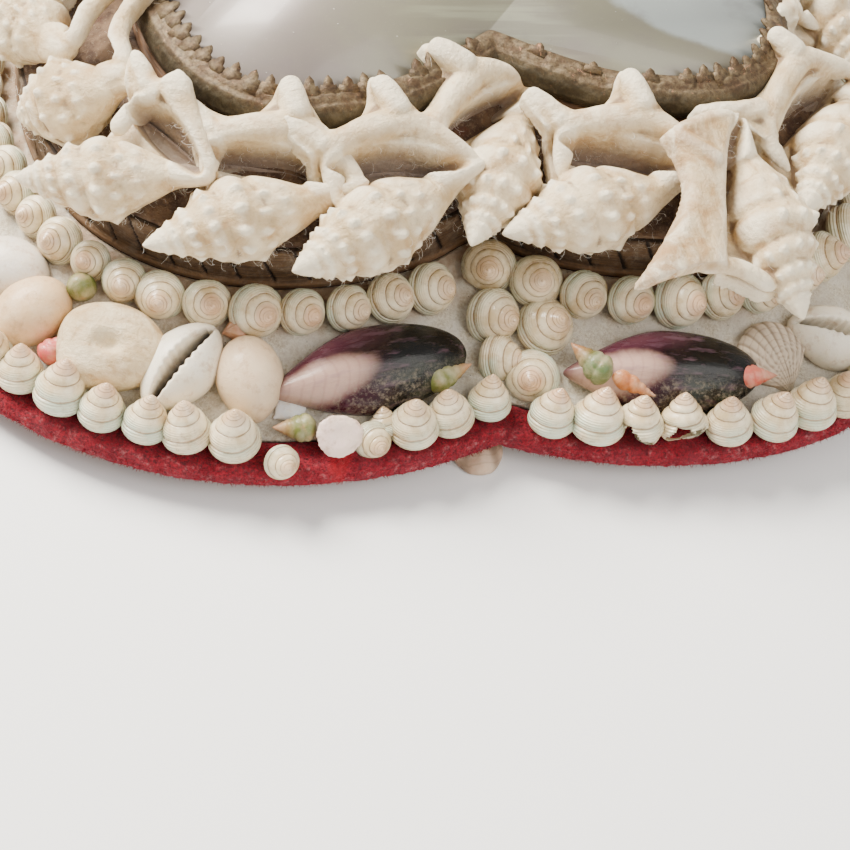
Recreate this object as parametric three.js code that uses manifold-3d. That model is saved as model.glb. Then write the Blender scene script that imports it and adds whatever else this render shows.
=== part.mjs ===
// Heart-shaped shell box with a lift-off lid and a small mirror, in millimetres.
// +Z is up, the notch of the heart faces -Y, and the origin is under the middle of the box.
import * as THREE from "three";
import { mergeVertices } from "three/addons/utils/BufferGeometryUtils.js";
import Module from "manifold-3d";

const wasm = await Module();
wasm.setup();

// Clearance between pieces that touch
const GAP = 0.3;

// Heart line that the inner row of small shells follows, drawn for its right half:
// the notch is its origin, the lobe hangs towards the front and the point is at the back
const BOX_LINE = {
  notchAngle: 0.15,
  notchHandle: 1.7,
  lobeX: 35.7,
  lobeDrop: 10.7,
  lobeHandleIn: 23.9,
  lobeHandleOut: 8.5,
  halfWidth: 85.2,
  widestY: 49.4,
  sideHandleFront: 57.3,
  sideHandleBack: 53.5,
  length: 136.4,
  pointAngle: 0.72,
  pointHandle: 36.5,
};

// Heart line of the mirror's edge, in shares of the box's own line. It sits a little off centre
// in this handmade piece.
const MIRROR_LINE = {
  notchAngle: 0.38,
  notchHandle: 2.9,
  lobeX: 0.77 * BOX_LINE.lobeX,
  lobeDrop: 1.3 * BOX_LINE.lobeDrop,
  lobeHandleIn: 0.47 * BOX_LINE.lobeHandleIn,
  lobeHandleOut: 0.38 * BOX_LINE.lobeHandleOut,
  halfWidth: 0.689 * BOX_LINE.halfWidth,
  widestY: 0.484 * BOX_LINE.widestY,
  sideHandleFront: 0.829 * BOX_LINE.sideHandleFront,
  sideHandleBack: 0.58 * BOX_LINE.sideHandleBack,
  length: 0.5865 * BOX_LINE.length,
  pointAngle: BOX_LINE.pointAngle,
  pointHandle: 0.603 * BOX_LINE.pointHandle,
};
const MIRROR_SHIFT = { x: 0.046 * BOX_LINE.halfWidth, y: 0.233 * BOX_LINE.length, turn: 0.05 };

// Facets along half of a heart outline, and samples on the line that they are taken from
const HALF_FACETS = 17;
const CURVE_SAMPLES = 60;

// Base board, its velvet edging and the shell feet
const FOOT_HEIGHT = 4;
const FOOT_RADIUS = 7;
const BOARD_THICKNESS = 3.3;
const VELVET_REACH = 27.2;
const VELVET_THICKNESS = 1.8;
const VELVET_RISE = 0.6;
const VELVET_LAP = 5;
const VELVET_ROUNDING = 1;

// Box wall and the sloped plaster bed around it
const WALL_THICKNESS = 3;
const WALL_INSET = 4.7;
const WALL_HEIGHT = 12.4;
const BED_TOP_DROP = 0.1;
const BED_TOE_HEIGHT = 0.9;

// Lid: kerf-bent rim, board, plaster bed, mirror block, bezel and glass
const RIM_HEIGHT = 8.4;
const RIM_THICKNESS = 3;
const LID_BOARD_THICKNESS = 3;
const LID_BED_EDGE = 0.8;
const LID_BED_RISE = 8;
const LID_BED_INSET = 0.9;
const BLOCK_HEIGHT = 10.7;
const BLOCK_REACH = 4.3;
const BLOCK_CORE_HEIGHT = 4.1;
const GLASS_THICKNESS = 1.6;
const GLASS_INSET = 0.6;
const BEZEL_WIDTH = 5.9;
const BEZEL_CROWN = 1.2;
const BEZEL_LIP = 1.8;
const BEZEL_ROUNDING = 2.2;
const LID_BED_SHOULDER = 3;

// Small top shells: inner row, the pairs below the notch, and the outer row on the velvet
const NOTCH_TOP_RADIUS = 5.2;
const TOP_HEIGHT = 6.6;
const TALL_TOP_HEIGHT = 9.6;
const TOP_SIDES = 5;
const TOP_GIRTH_HEIGHT = 0.24;
const INNER_PITCH_RIGHT = 8.5;
const INNER_PITCH_LEFT = 7.7;
const OUTER_PITCH = 8.1;
const INNER_START_RIGHT = 0.8;
const INNER_START_LEFT = 8.6;
const OUTER_START_RIGHT = 17.3;
const OUTER_START_LEFT = 25.6;
const INNER_ROW_REACH = 0.2;
const OUTER_ROW_INSET = 4.5;
const ROW_TOUCH = 0.6;
const ROW_END = 0.6;

// Pelican's foot shells round the lid: shell length from spire tip to canal tip
const PELICAN_LENGTH = 39;
const PELICAN_DRAWN_LENGTH = 39;
const PELICAN_BODY_RADIUS = 7.2;
const PELICAN_WING_THICKNESS = 2.4;
const PELICAN_WING_RISE = 1.5;
// The body as shares of its radius at places along it, from the spire's tip to the beak.
const PELICAN_BODY_PROFILE = [
  [0, -17.5],
  [0.5, -11],
  [0.95, -3.5],
  [1, 1.5],
  [0.5, 10],
  [0, 21.5],
];
// The spread lip with its two fingers, seen from above the shell.
const PELICAN_WING_OUTLINE = [
  [-7, 1],
  [-4.4, 12],
  [-5.4, 23.4],
  [1.4, 17.6],
  [7.6, 17],
  [14.2, 22.2],
  [17.4, 13],
  [21.5, 0.6],
  [14, -1],
  [-6, -1],
];
const PELICAN_INSET = 7.4;
const PELICAN_LIFT = 0.12;
const PELICAN_LEAN = 0.4;
const PELICAN_TURN = 0.38;
const PELICAN_SEAT = 6.8;
const BACK_PELICAN_PITCH = 27;

// Larger shells on the slope
const MUSSEL_LENGTH = 35;
const SLOPE_OFFSET = 11;

// Levels, from the table up
const BOARD_BOTTOM = FOOT_HEIGHT + GAP;
const BOARD_TOP = BOARD_BOTTOM + BOARD_THICKNESS;
const VELVET_TOP = BOARD_TOP + GAP + VELVET_RISE;
const WALL_BOTTOM = BOARD_TOP + GAP;
const WALL_TOP = WALL_BOTTOM + WALL_HEIGHT;
const RIM_BOTTOM = WALL_TOP + GAP;
const LID_TOP = RIM_BOTTOM + RIM_HEIGHT;
const LID_SEAT = LID_TOP + GAP;
const BLOCK_SHELF = LID_SEAT + BLOCK_HEIGHT;
const BLOCK_TOP = BLOCK_SHELF + BLOCK_CORE_HEIGHT;
const GLASS_BOTTOM = BLOCK_TOP + GAP;
const GLASS_TOP = GLASS_BOTTOM + GLASS_THICKNESS;
const BEZEL_BOTTOM = BLOCK_SHELF + GAP;
const BED_BOTTOM = BOARD_TOP + GAP;
const BED_TOP = WALL_TOP - BED_TOP_DROP;
const BED_TOE = VELVET_REACH - VELVET_THICKNESS - VELVET_LAP - GAP;

// The middle of the heart from front to back is the origin
const MIDDLE_Y = (BOX_LINE.length - BOX_LINE.lobeDrop) / 2;

const part = new THREE.Group();

function finish(color, roughness, metalness = 0) {
  return new THREE.MeshStandardMaterial({ color, roughness, metalness });
}

const wood = finish(0x6b4a2c, 0.75);
const plaster = finish(0xcfc8bc, 0.95);
const velvet = finish(0x9e1226, 0.95);
const pearl = finish(0xdfd6c2, 0.35);
const bone = finish(0xe8dcc4, 0.6);
const cowrie = finish(0xd9bd95, 0.35);
const mussel = finish(0x352030, 0.35);
const bronze = finish(0x6d5640, 0.55, 0.7);
const silvered = finish(0xaeb0ae, 0.2, 0.6);
const scallop = finish(0xc9ae98, 0.6);

function addPiece(name, geometry, material) {
  const mesh = new THREE.Mesh(geometry, material);
  mesh.name = name;
  part.add(mesh);
}

// Solids from triangles

function solidOf(geometry) {
  let plain = geometry.clone();
  plain.deleteAttribute("normal");
  plain.deleteAttribute("uv");
  plain = mergeVertices(plain, 1e-4);
  const place = plain.getAttribute("position");
  const index = plain.getIndex().array;
  const corner = (i) => new THREE.Vector3().fromBufferAttribute(place, i);
  const triangles = [];
  let volume = 0;
  for (let i = 0; i < index.length; i += 3) {
    const [a, b, c] = [index[i], index[i + 1], index[i + 2]];
    if (a === b || b === c || c === a) continue;
    triangles.push(a, b, c);
    volume += corner(a).dot(corner(b).cross(corner(c)));
  }
  if (volume < 0) triangles.reverse();
  return new wasm.Manifold(new wasm.Mesh({
    numProp: 3,
    vertProperties: Float32Array.from(place.array),
    triVerts: Uint32Array.from(triangles),
  }));
}

function geometryOf(solid) {
  const mesh = solid.getMesh();
  const geometry = new THREE.BufferGeometry();
  geometry.setAttribute("position", new THREE.BufferAttribute(mesh.vertProperties, 3));
  geometry.setIndex(new THREE.BufferAttribute(mesh.triVerts, 1));
  return geometry;
}

function joined(solids) {
  return solids.reduce((whole, next) => whole.add(next));
}

function boxesMeet(a, b) {
  return [0, 1, 2].every((axis) => a.min[axis] < b.max[axis] && b.min[axis] < a.max[axis]);
}

// Takes away every tool that comes near the solid
function cutBy(solid, tools) {
  const box = solid.boundingBox();
  const near = tools.filter((tool) => boxesMeet(box, tool.boundingBox()));
  return near.reduce((rest, tool) => rest.subtract(tool), solid);
}

// The one body that is left when a cut has freed small slivers
function mainBody(solid) {
  const bodies = solid.decompose();
  return bodies.reduce((best, next) => (next.volume() > best.volume() ? next : best));
}

// Heart outlines

function halfLine(line) {
  const at = (x, y) => new THREE.Vector2(x, y);
  const lobe = at(line.lobeX, -line.lobeDrop);
  const side = at(line.halfWidth, line.widestY);
  const point = at(0, line.length);
  const notchOut = at(
    line.notchHandle * Math.cos(line.notchAngle),
    -line.notchHandle * Math.sin(line.notchAngle),
  );
  const pointIn = at(
    line.pointHandle * Math.sin(line.pointAngle),
    line.length - line.pointHandle * Math.cos(line.pointAngle),
  );
  const curves = [
    new THREE.CubicBezierCurve(at(0, 0), notchOut, at(lobe.x - line.lobeHandleIn, lobe.y), lobe),
    new THREE.CubicBezierCurve(
      lobe,
      at(lobe.x + line.lobeHandleOut, lobe.y),
      at(side.x, side.y - line.sideHandleFront),
      side,
    ),
    new THREE.CubicBezierCurve(side, at(side.x, side.y + line.sideHandleBack), pointIn, point),
  ];
  return curves.flatMap((curve, i) => curve.getPoints(CURVE_SAMPLES).slice(i === 0 ? 0 : 1));
}

function outwardNormals(points) {
  return points.map((_, i) => {
    const before = points[Math.max(i - 1, 0)];
    const after = points[Math.min(i + 1, points.length - 1)];
    const along = after.clone().sub(before).normalize();
    return new THREE.Vector2(along.y, -along.x);
  });
}

// Points on a circle about a corner of the heart, between two directions
function arcAbout(centre, radius, from, to) {
  const steps = Math.max(2, Math.ceil(Math.abs(to - from) / 0.12));
  return Array.from({ length: steps + 1 }, (_, i) => {
    const angle = from + (to - from) * (i / steps);
    return new THREE.Vector2(
      centre.x + radius * Math.cos(angle),
      centre.y + radius * Math.sin(angle),
    );
  });
}

// The half line moved outwards, trimmed at the axis of the heart and where it would cross itself
function offsetHalf(line, offset) {
  const base = halfLine(line);
  if (offset === 0) return base;
  const normals = outwardNormals(base);
  let moved = base.map((p, i) => p.clone().addScaledVector(normals[i], offset));
  if (offset > 0) {
    const last = normals[normals.length - 1];
    moved.push(...arcAbout(base[base.length - 1], offset, last.angle(), Math.PI / 2));
  } else {
    const first = normals[0].clone().negate();
    moved.unshift(...arcAbout(base[0], -offset, Math.PI / 2, first.angle()));
  }
  const reach = Math.abs(offset) - 0.02;
  moved = moved.filter((p) => base.every((q) => p.distanceTo(q) > reach && mirrored(q).distanceTo(p) > reach));
  const right = moved.filter((p) => p.x > 0.01);
  const start = new THREE.Vector2(0, axisHeight(right[1], right[0]));
  const end = new THREE.Vector2(0, axisHeight(right[right.length - 2], right[right.length - 1]));
  return [start, ...right, end];
}

function mirrored(point) {
  return new THREE.Vector2(-point.x, point.y);
}

// Height at which the line through two points near the axis meets it
function axisHeight(inner, edge) {
  const slope = (edge.y - inner.y) / (edge.x - inner.x || 1);
  return edge.y - slope * edge.x;
}

function lengthsAlong(points) {
  const lengths = [0];
  for (let i = 1; i < points.length; i += 1) {
    lengths.push(lengths[i - 1] + points[i].distanceTo(points[i - 1]));
  }
  return lengths;
}

function pointAlong(points, lengths, distance) {
  let i = 1;
  while (i < points.length - 1 && lengths[i] < distance) i += 1;
  const span = lengths[i] - lengths[i - 1] || 1;
  return points[i - 1].clone().lerp(points[i], (distance - lengths[i - 1]) / span);
}

function resampled(points, facets) {
  const lengths = lengthsAlong(points);
  const total = lengths[lengths.length - 1];
  const inner = Array.from({ length: facets - 1 }, (_, i) => {
    return pointAlong(points, lengths, (total * (i + 1)) / facets);
  });
  return [points[0], ...inner, points[points.length - 1]];
}

// A closed outline, counter-clockwise from the notch, moved to the box's own frame
function closedOutline(half, shift = { x: 0, y: 0, turn: 0 }) {
  const left = half.slice(1, -1).reverse().map(mirrored);
  const origin = new THREE.Vector2(0, 0);
  return [...half, ...left].map((p) => {
    return p.clone().rotateAround(origin, shift.turn).add(new THREE.Vector2(shift.x, shift.y - MIDDLE_Y));
  });
}

function boxOutline(offset) {
  return closedOutline(resampled(offsetHalf(BOX_LINE, offset), HALF_FACETS));
}

function mirrorOutline(offset) {
  return closedOutline(resampled(offsetHalf(MIRROR_LINE, offset), HALF_FACETS), MIRROR_SHIFT);
}

// Lofted pieces: sections run bottom-out, top-out, top-in, bottom-in

function wallTriangles(count, from, to) {
  const triangles = [];
  for (let j = 0; j < count; j += 1) {
    const k = (j + 1) % count;
    triangles.push(from + j, from + k, to + k, from + j, to + k, to + j);
  }
  return triangles;
}

function loftGeometry(sections, triangles) {
  const places = sections.flatMap(({ outline, z }) => outline.flatMap((p) => [p.x, p.y, z]));
  const geometry = new THREE.BufferGeometry();
  geometry.setAttribute("position", new THREE.Float32BufferAttribute(places, 3));
  geometry.setIndex(triangles);
  return geometry;
}

function ring(sections) {
  const count = sections[0].outline.length;
  const triangles = sections.flatMap((_, i) => {
    return wallTriangles(count, i * count, ((i + 1) % sections.length) * count);
  });
  return loftGeometry(sections, triangles);
}

function plate(sections) {
  const count = sections[0].outline.length;
  const walls = sections.slice(1).flatMap((_, i) => wallTriangles(count, i * count, (i + 1) * count));
  const bottom = THREE.ShapeUtils.triangulateShape(sections[0].outline, []);
  const last = sections[sections.length - 1];
  const top = THREE.ShapeUtils.triangulateShape(last.outline, []);
  const lift = (sections.length - 1) * count;
  return loftGeometry(sections, [
    ...walls,
    ...bottom.flatMap(([a, b, c]) => [c, b, a]),
    ...top.flatMap(([a, b, c]) => [a + lift, b + lift, c + lift]),
  ]);
}

function boxSection(offset, z) {
  return { outline: boxOutline(offset), z };
}

function mirrorSection(offset, z) {
  return { outline: mirrorOutline(offset), z };
}

// Base

function baseBoard() {
  const edge = VELVET_REACH - VELVET_THICKNESS - GAP;
  return plate([boxSection(edge, BOARD_BOTTOM), boxSection(edge, BOARD_TOP)]);
}

function velvetEdge() {
  const back = VELVET_REACH - VELVET_THICKNESS;
  return ring([
    boxSection(VELVET_REACH, BOARD_BOTTOM),
    boxSection(VELVET_REACH, VELVET_TOP - VELVET_ROUNDING),
    boxSection(VELVET_REACH - VELVET_ROUNDING, VELVET_TOP),
    boxSection(back - VELVET_LAP, VELVET_TOP),
    boxSection(back - VELVET_LAP, BOARD_TOP + GAP),
    boxSection(back, BOARD_TOP + GAP),
    boxSection(back, BOARD_BOTTOM),
  ]);
}

// A small scallop shell lying hinge-in under the board
function footShell(x, y, turn) {
  const profile = [
    [0, 0],
    [0.62, 0],
    [1, 0.35],
    [0.8, 0.8],
    [0.45, 1],
    [0, 1],
  ].map(([r, h]) => new THREE.Vector2(r * FOOT_RADIUS, h * FOOT_HEIGHT));
  const shell = new THREE.LatheGeometry(profile, 7);
  shell.rotateX(Math.PI / 2);
  shell.scale(1, 0.85, 1);
  shell.rotateZ(turn);
  shell.translate(x, y, 0);
  return geometryOf(solidOf(shell));
}

// Box body

function boxWall() {
  return ring([
    boxSection(-WALL_INSET, WALL_BOTTOM),
    boxSection(-WALL_INSET, WALL_TOP),
    boxSection(-WALL_INSET - WALL_THICKNESS, WALL_TOP),
    boxSection(-WALL_INSET - WALL_THICKNESS, WALL_BOTTOM),
  ]);
}

function shellBed(grow) {
  const inner = -WALL_INSET + GAP - grow;
  return ring([
    boxSection(BED_TOE + grow, BED_BOTTOM - grow),
    boxSection(BED_TOE + grow, BED_BOTTOM + BED_TOE_HEIGHT + grow),
    boxSection(inner, BED_TOP + grow),
    boxSection(inner, BED_BOTTOM - grow),
  ]);
}

// The slope falls from the wall to its toe by this angle
const BED_RUN = BED_TOE + WALL_INSET - GAP;
const BED_FALL = BED_TOP - BED_BOTTOM - BED_TOE_HEIGHT;
const BED_SLOPE = Math.atan2(BED_FALL, BED_RUN);

// Height of the sloped bed at a distance outside the heart line
function bedHeight(offset) {
  return BED_BOTTOM + BED_TOE_HEIGHT + ((BED_TOE - offset) / BED_RUN) * BED_FALL;
}

// Lid

function lidRim(grow) {
  const outer = -WALL_INSET + grow;
  const inner = -WALL_INSET - RIM_THICKNESS - grow;
  return ring([
    boxSection(outer, RIM_BOTTOM - grow),
    boxSection(outer, LID_TOP + grow),
    boxSection(inner, LID_TOP + grow),
    boxSection(inner, RIM_BOTTOM - grow),
  ]);
}

function lidBoard() {
  const edge = -WALL_INSET - RIM_THICKNESS - GAP;
  return plate([boxSection(edge, LID_TOP - LID_BOARD_THICKNESS), boxSection(edge, LID_TOP)]);
}

function lidBed(grow) {
  const outer = -WALL_INSET - LID_BED_INSET + grow;
  const inner = BLOCK_REACH + GAP - grow;
  return ring([
    boxSection(outer, LID_SEAT - grow),
    boxSection(outer, LID_SEAT + LID_BED_EDGE + grow),
    mirrorSection(inner + LID_BED_SHOULDER, LID_SEAT + LID_BED_RISE + grow),
    mirrorSection(inner, LID_SEAT + LID_BED_RISE + grow),
    mirrorSection(inner, LID_SEAT - grow),
  ]);
}

function mirrorBlock() {
  return plate([
    mirrorSection(BLOCK_REACH, LID_SEAT),
    mirrorSection(BLOCK_REACH, BLOCK_SHELF),
    mirrorSection(-GLASS_INSET, BLOCK_SHELF),
    mirrorSection(-GLASS_INSET, BLOCK_TOP),
  ]);
}

function mirrorGlass() {
  return plate([mirrorSection(-GLASS_INSET, GLASS_BOTTOM), mirrorSection(-GLASS_INSET, GLASS_TOP)]);
}

// A pressed metal band round the glass with a narrow lip over its edge
function bezelRing(grow) {
  const inner = -GLASS_INSET + GAP - grow;
  const outer = inner + BEZEL_WIDTH + 2 * grow;
  const top = GLASS_TOP + BEZEL_CROWN + grow;
  const bottom = BEZEL_BOTTOM - grow;
  return ring([
    mirrorSection(outer, bottom),
    mirrorSection(outer, top - BEZEL_ROUNDING),
    mirrorSection(outer - BEZEL_ROUNDING, top),
    mirrorSection(inner - BEZEL_LIP, top - GAP),
    mirrorSection(inner - BEZEL_LIP, GLASS_TOP + GAP - grow),
    mirrorSection(inner, GLASS_TOP + GAP - grow),
    mirrorSection(inner, bottom),
  ]);
}

// Rows of small top shells

function fullPath(offset) {
  const half = offsetHalf(BOX_LINE, offset);
  const left = half.slice(1).reverse().map(mirrored);
  const points = [...left, ...half].map((p) => p.clone().add(new THREE.Vector2(0, -MIDDLE_Y)));
  const lengths = lengthsAlong(points);
  return { points, lengths, notch: lengths[left.length], end: lengths[lengths.length - 1] };
}

function placeOnPath(path, fromNotch) {
  const distance = THREE.MathUtils.clamp(path.notch + fromNotch, 0, path.end);
  const here = pointAlong(path.points, path.lengths, distance);
  const ahead = pointAlong(path.points, path.lengths, Math.min(distance + 0.4, path.end));
  const behind = pointAlong(path.points, path.lengths, Math.max(distance - 0.4, 0));
  return { here, turn: Math.atan2(ahead.y - behind.y, ahead.x - behind.x) };
}

// Places evenly spaced about a pitch apart, walking from a start to the point of the heart
function stepsAlong(path, start, pitch) {
  const direction = Math.sign(pitch);
  const end = path.end - path.notch - Math.abs(pitch) * ROW_END;
  const room = end - direction * start;
  const count = Math.round(room / Math.abs(pitch));
  const step = room / count;
  const places = Array.from({ length: count + 1 }, (_, i) => start + direction * step * i);
  return { places, step };
}

// A five-sided top shell, widest near its base, with one corner pointing along the row
function topShell(radius, height) {
  const profile = [
    [0, 0],
    [radius, height * TOP_GIRTH_HEIGHT],
    [0, height],
  ].map(([r, h]) => new THREE.Vector2(r, h));
  const shell = new THREE.LatheGeometry(profile, TOP_SIDES);
  shell.rotateX(Math.PI / 2);
  shell.rotateZ(Math.PI / 2);
  return shell;
}

// A top shell with its base on a spot, its tip leaning outwards from upright
function placedTop(place, z, lean, radius, height) {
  const shell = topShell(radius, height);
  shell.rotateX(lean);
  shell.rotateZ(place.turn);
  shell.translate(place.here.x, place.here.y, z);
  return solidOf(shell);
}

function innerRow(start, pitch, grow) {
  const path = fullPath(INNER_ROW_REACH);
  const { places, step } = stepsAlong(path, start, pitch);
  const base = bedHeight(INNER_ROW_REACH) + (2 * GAP - grow) / Math.cos(BED_SLOPE);
  return places.map((s) => {
    return placedTop(placeOnPath(path, s), base, BED_SLOPE, step * ROW_TOUCH + grow, TOP_HEIGHT + 2 * grow);
  });
}

function outerRow(start, pitch, grow) {
  const path = fullPath(VELVET_REACH - OUTER_ROW_INSET);
  const { places, step } = stepsAlong(path, start, pitch);
  const base = VELVET_TOP + GAP - grow;
  return places.map((s) => {
    return placedTop(placeOnPath(path, s), base, 0, step * ROW_TOUCH + grow, TALL_TOP_HEIGHT + 2 * grow);
  });
}

// Two pairs of top shells between the notch and the outer row
const NOTCH_SPOTS = [
  { x: 0, y: -9.2 },
  { x: 8.7, y: -12 },
  { x: -0.4, y: -15.8 },
  { x: 7.4, y: -18.6 },
];
const NOTCH_TURN = -0.3;

function notchTops(grow) {
  return NOTCH_SPOTS.map(({ x, y }) => {
    const place = { here: new THREE.Vector2(x, y - MIDDLE_Y), turn: NOTCH_TURN };
    const base = bedHeight(-y) + 2 * GAP - grow;
    return placedTop(place, base, BED_SLOPE, NOTCH_TOP_RADIUS + grow, TOP_HEIGHT + 2 * grow);
  });
}

// Pelican's foot shells. In the shell's own frame +X is the canal, +Y the flared lip.

function pelicanShell(grow, size) {
  const r = PELICAN_BODY_RADIUS;
  const unit = PELICAN_LENGTH / PELICAN_DRAWN_LENGTH;
  const profile = PELICAN_BODY_PROFILE.map(([share, x], index) => {
    const reach = index === 0 ? -grow : grow;
    return share > 0
      ? new THREE.Vector2(r * share + grow, x * unit)
      : new THREE.Vector2(0, (x + reach) * unit);
  });
  const body = new THREE.LatheGeometry(profile, 6);
  body.rotateZ(-Math.PI / 2);
  const spread = unit * (1 + grow / 18);
  const outline = PELICAN_WING_OUTLINE.map(([x, y]) => new THREE.Vector2(x * spread, y * spread));
  const wing = new THREE.Shape(outline);
  const lip = new THREE.ExtrudeGeometry(wing, {
    depth: PELICAN_WING_THICKNESS + 2 * grow,
    bevelEnabled: false,
  });
  lip.translate(0, 0, PELICAN_WING_RISE - PELICAN_WING_THICKNESS / 2 - grow);
  const shell = solidOf(body).add(solidOf(lip));
  return shell.scale([size, size, size]);
}

function placedPelican(spec, grow) {
  const turned = new THREE.Matrix4().makeRotationZ(spec.turn);
  turned.multiply(new THREE.Matrix4().makeRotationY(-spec.lift));
  turned.multiply(new THREE.Matrix4().makeRotationX(spec.lean));
  turned.setPosition(spec.x, spec.y - MIDDLE_Y, spec.z);
  return pelicanShell(grow, spec.size).transform(turned.elements);
}

// Shells at the front and sides, each set by hand from the left side to the right. The place is a
// share of the heart's half width and of its length.
const BODY_LEVEL = LID_TOP + PELICAN_SEAT;
const FRONT_PELICANS = [
  { x: -0.844, y: 0.189, turn: -0.6, lift: 0.1, lean: 0.42, size: 0.92 },
  { x: -0.78, y: 0.046, turn: -0.22, lift: 0.2, lean: 0.5, size: 0.9 },
  { x: -0.523, y: -0.028, turn: 0.19, lift: 0.12, lean: 0.4, size: 1 },
  { x: -0.256, y: -0.048, turn: 0.52, lift: 0.12, lean: 0.4, size: 1.04 },
  { x: 0.026, y: 0.045, turn: 1.12, lift: 0.24, lean: 0.4, size: 1 },
  { x: 0.209, y: -0.023, turn: 0.24, lift: 0.12, lean: 0.4, size: 1.02 },
  { x: 0.56, y: -0.063, turn: 1.76, lift: 0.34, lean: 0.2, size: 1 },
  { x: 0.789, y: 0.078, turn: 0.96, lift: 0.1, lean: 0.4, size: 1 },
].map((spec) => ({
  ...spec,
  x: spec.x * BOX_LINE.halfWidth,
  y: spec.y * BOX_LINE.length,
  z: BODY_LEVEL,
}));

// The rest of the ring: so many shells on each side, spread evenly between two shares of the way
// from the notch to the point
const BACK_PELICANS_RIGHT = { count: 5, from: 0.502, to: 0.955 };
const BACK_PELICANS_LEFT = { count: 5, from: 0.488, to: 0.935 };

function backPelicans({ count, from, to }, side) {
  const path = fullPath(-PELICAN_INSET);
  const half = path.end - path.notch;
  const spacing = ((to - from) * half) / (count - 1);
  return Array.from({ length: count }, (_, i) => {
    const share = from + ((to - from) * i) / (count - 1);
    const place = placeOnPath(path, side * share * half);
    return {
      x: place.here.x,
      y: place.here.y + MIDDLE_Y,
      z: BODY_LEVEL,
      turn: place.turn + PELICAN_TURN,
      lift: PELICAN_LIFT,
      lean: PELICAN_LEAN,
      size: spacing / BACK_PELICAN_PITCH,
    };
  });
}

// Larger shells on the sloped bed

// A domed shell on a flat base, slimmer towards its -X end
function domedShell(length, width, height, taper) {
  const profile = [
    [0, 0],
    [1, 0],
    [0.9, 0.5],
    [0.5, 0.88],
    [0, 1],
  ].map(([r, h]) => new THREE.Vector2(r, h));
  const shell = new THREE.LatheGeometry(profile, 8);
  shell.rotateX(Math.PI / 2);
  const place = shell.getAttribute("position");
  for (let i = 0; i < place.count; i += 1) {
    const x = place.getX(i);
    const slim = 1 - taper * Math.max(0, -x) ** 1.5;
    place.setXYZ(i, (x * length) / 2, (place.getY(i) * slim * width) / 2, place.getZ(i) * slim * height);
  }
  return shell;
}

// A shell lying on the slope, its length turned from the direction of the row
function onSlope(shell, path, offset, s, turn, lift) {
  const place = placeOnPath(path, s);
  shell.rotateZ(turn);
  shell.rotateX(BED_SLOPE);
  shell.rotateZ(place.turn);
  shell.translate(place.here.x, place.here.y, bedHeight(offset) + lift / Math.cos(BED_SLOPE));
  return solidOf(shell);
}

// Lengths, widths and heights are shares of a mussel's length
const SHELL_KINDS = {
  mussel: { length: 1, width: 0.43, height: 0.17, taper: 0.55, material: mussel },
  cowrie: { length: 0.41, width: 0.315, height: 0.185, taper: 0.15, material: cowrie },
  slit_cowrie: { length: 0.5, width: 0.33, height: 0.17, taper: 0.2, material: bone },
  moon_snail: { length: 0.53, width: 0.46, height: 0.23, taper: 0.1, material: bone },
  scallop: { length: 0.385, width: 0.385, height: 0.105, taper: 0.3, material: scallop },
};

// Places are shares of the way from the notch to the point, positive to the right. The offset
// is added to the distance from the heart line that all slope shells share.
const SLOPE_SHELLS = [
  { name: "cowrie_white", kind: "cowrie", at: -0.405, offset: -2, turn: 0.4 },
  { name: "cowrie_tan_left", kind: "cowrie", at: -0.364, offset: 1, turn: 1.3 },
  { name: "moon_snail", kind: "moon_snail", at: -0.303, offset: 0.5, turn: 0.1 },
  { name: "slit_cowrie_left", kind: "slit_cowrie", at: -0.244, offset: 0, turn: 1.15 },
  { name: "cowrie_tan_front", kind: "cowrie", at: -0.194, offset: 0, turn: 1.7 },
  { name: "mussel_front_left", kind: "mussel", at: -0.105, offset: 0, turn: 0.05 },
  { name: "mussel_front_right", kind: "mussel", at: 0.136, offset: 1.4, turn: 0 },
  { name: "scallop_right", kind: "scallop", at: 0.23, offset: 1.4, turn: 1.4 },
  { name: "slit_cowrie_right", kind: "slit_cowrie", at: 0.286, offset: 1.6, turn: -0.7 },
  { name: "mussel_back_1", kind: "mussel", at: 0.41, offset: 0, turn: 0.08 },
  { name: "cowrie_back_1", kind: "cowrie", at: 0.53, offset: 0, turn: 1.2 },
  { name: "mussel_back_2", kind: "mussel", at: 0.65, offset: 0, turn: 0.08 },
  { name: "scallop_back_2", kind: "scallop", at: 0.77, offset: 0, turn: 1.2 },
  { name: "mussel_back_3", kind: "mussel", at: 0.88, offset: 0, turn: 0.08 },
  { name: "moon_snail_back_3", kind: "moon_snail", at: 0.985, offset: -1, turn: 1.2 },
  { name: "mussel_back_4", kind: "mussel", at: -0.9, offset: 0, turn: 0.08 },
  { name: "cowrie_back_4", kind: "cowrie", at: -0.785, offset: 0, turn: 1.2 },
  { name: "mussel_back_5", kind: "mussel", at: -0.68, offset: 0, turn: 0.08 },
  { name: "scallop_back_5", kind: "scallop", at: -0.58, offset: 0, turn: 1.2 },
  { name: "mussel_back_6", kind: "mussel", at: -0.485, offset: 0, turn: 0.08 },
];

// Assembly

addPiece("base_board", baseBoard(), wood);
addPiece("velvet_edge", velvetEdge(), velvet);
const FEET = [
  { name: "foot_notch", x: -FOOT_RADIUS / 2, y: -VELVET_REACH - FOOT_RADIUS / 2, turn: 0 },
  { name: "foot_left", x: -BOX_LINE.halfWidth, y: BOX_LINE.widestY, turn: 1.4 },
  { name: "foot_right", x: BOX_LINE.halfWidth, y: BOX_LINE.widestY, turn: -1.4 },
  { name: "foot_point", x: 0, y: BOX_LINE.length + FOOT_RADIUS / 2, turn: 0.3 },
];
FEET.forEach(({ name, x, y, turn }) => addPiece(name, footShell(x, y - MIDDLE_Y, turn), scallop));

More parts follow.
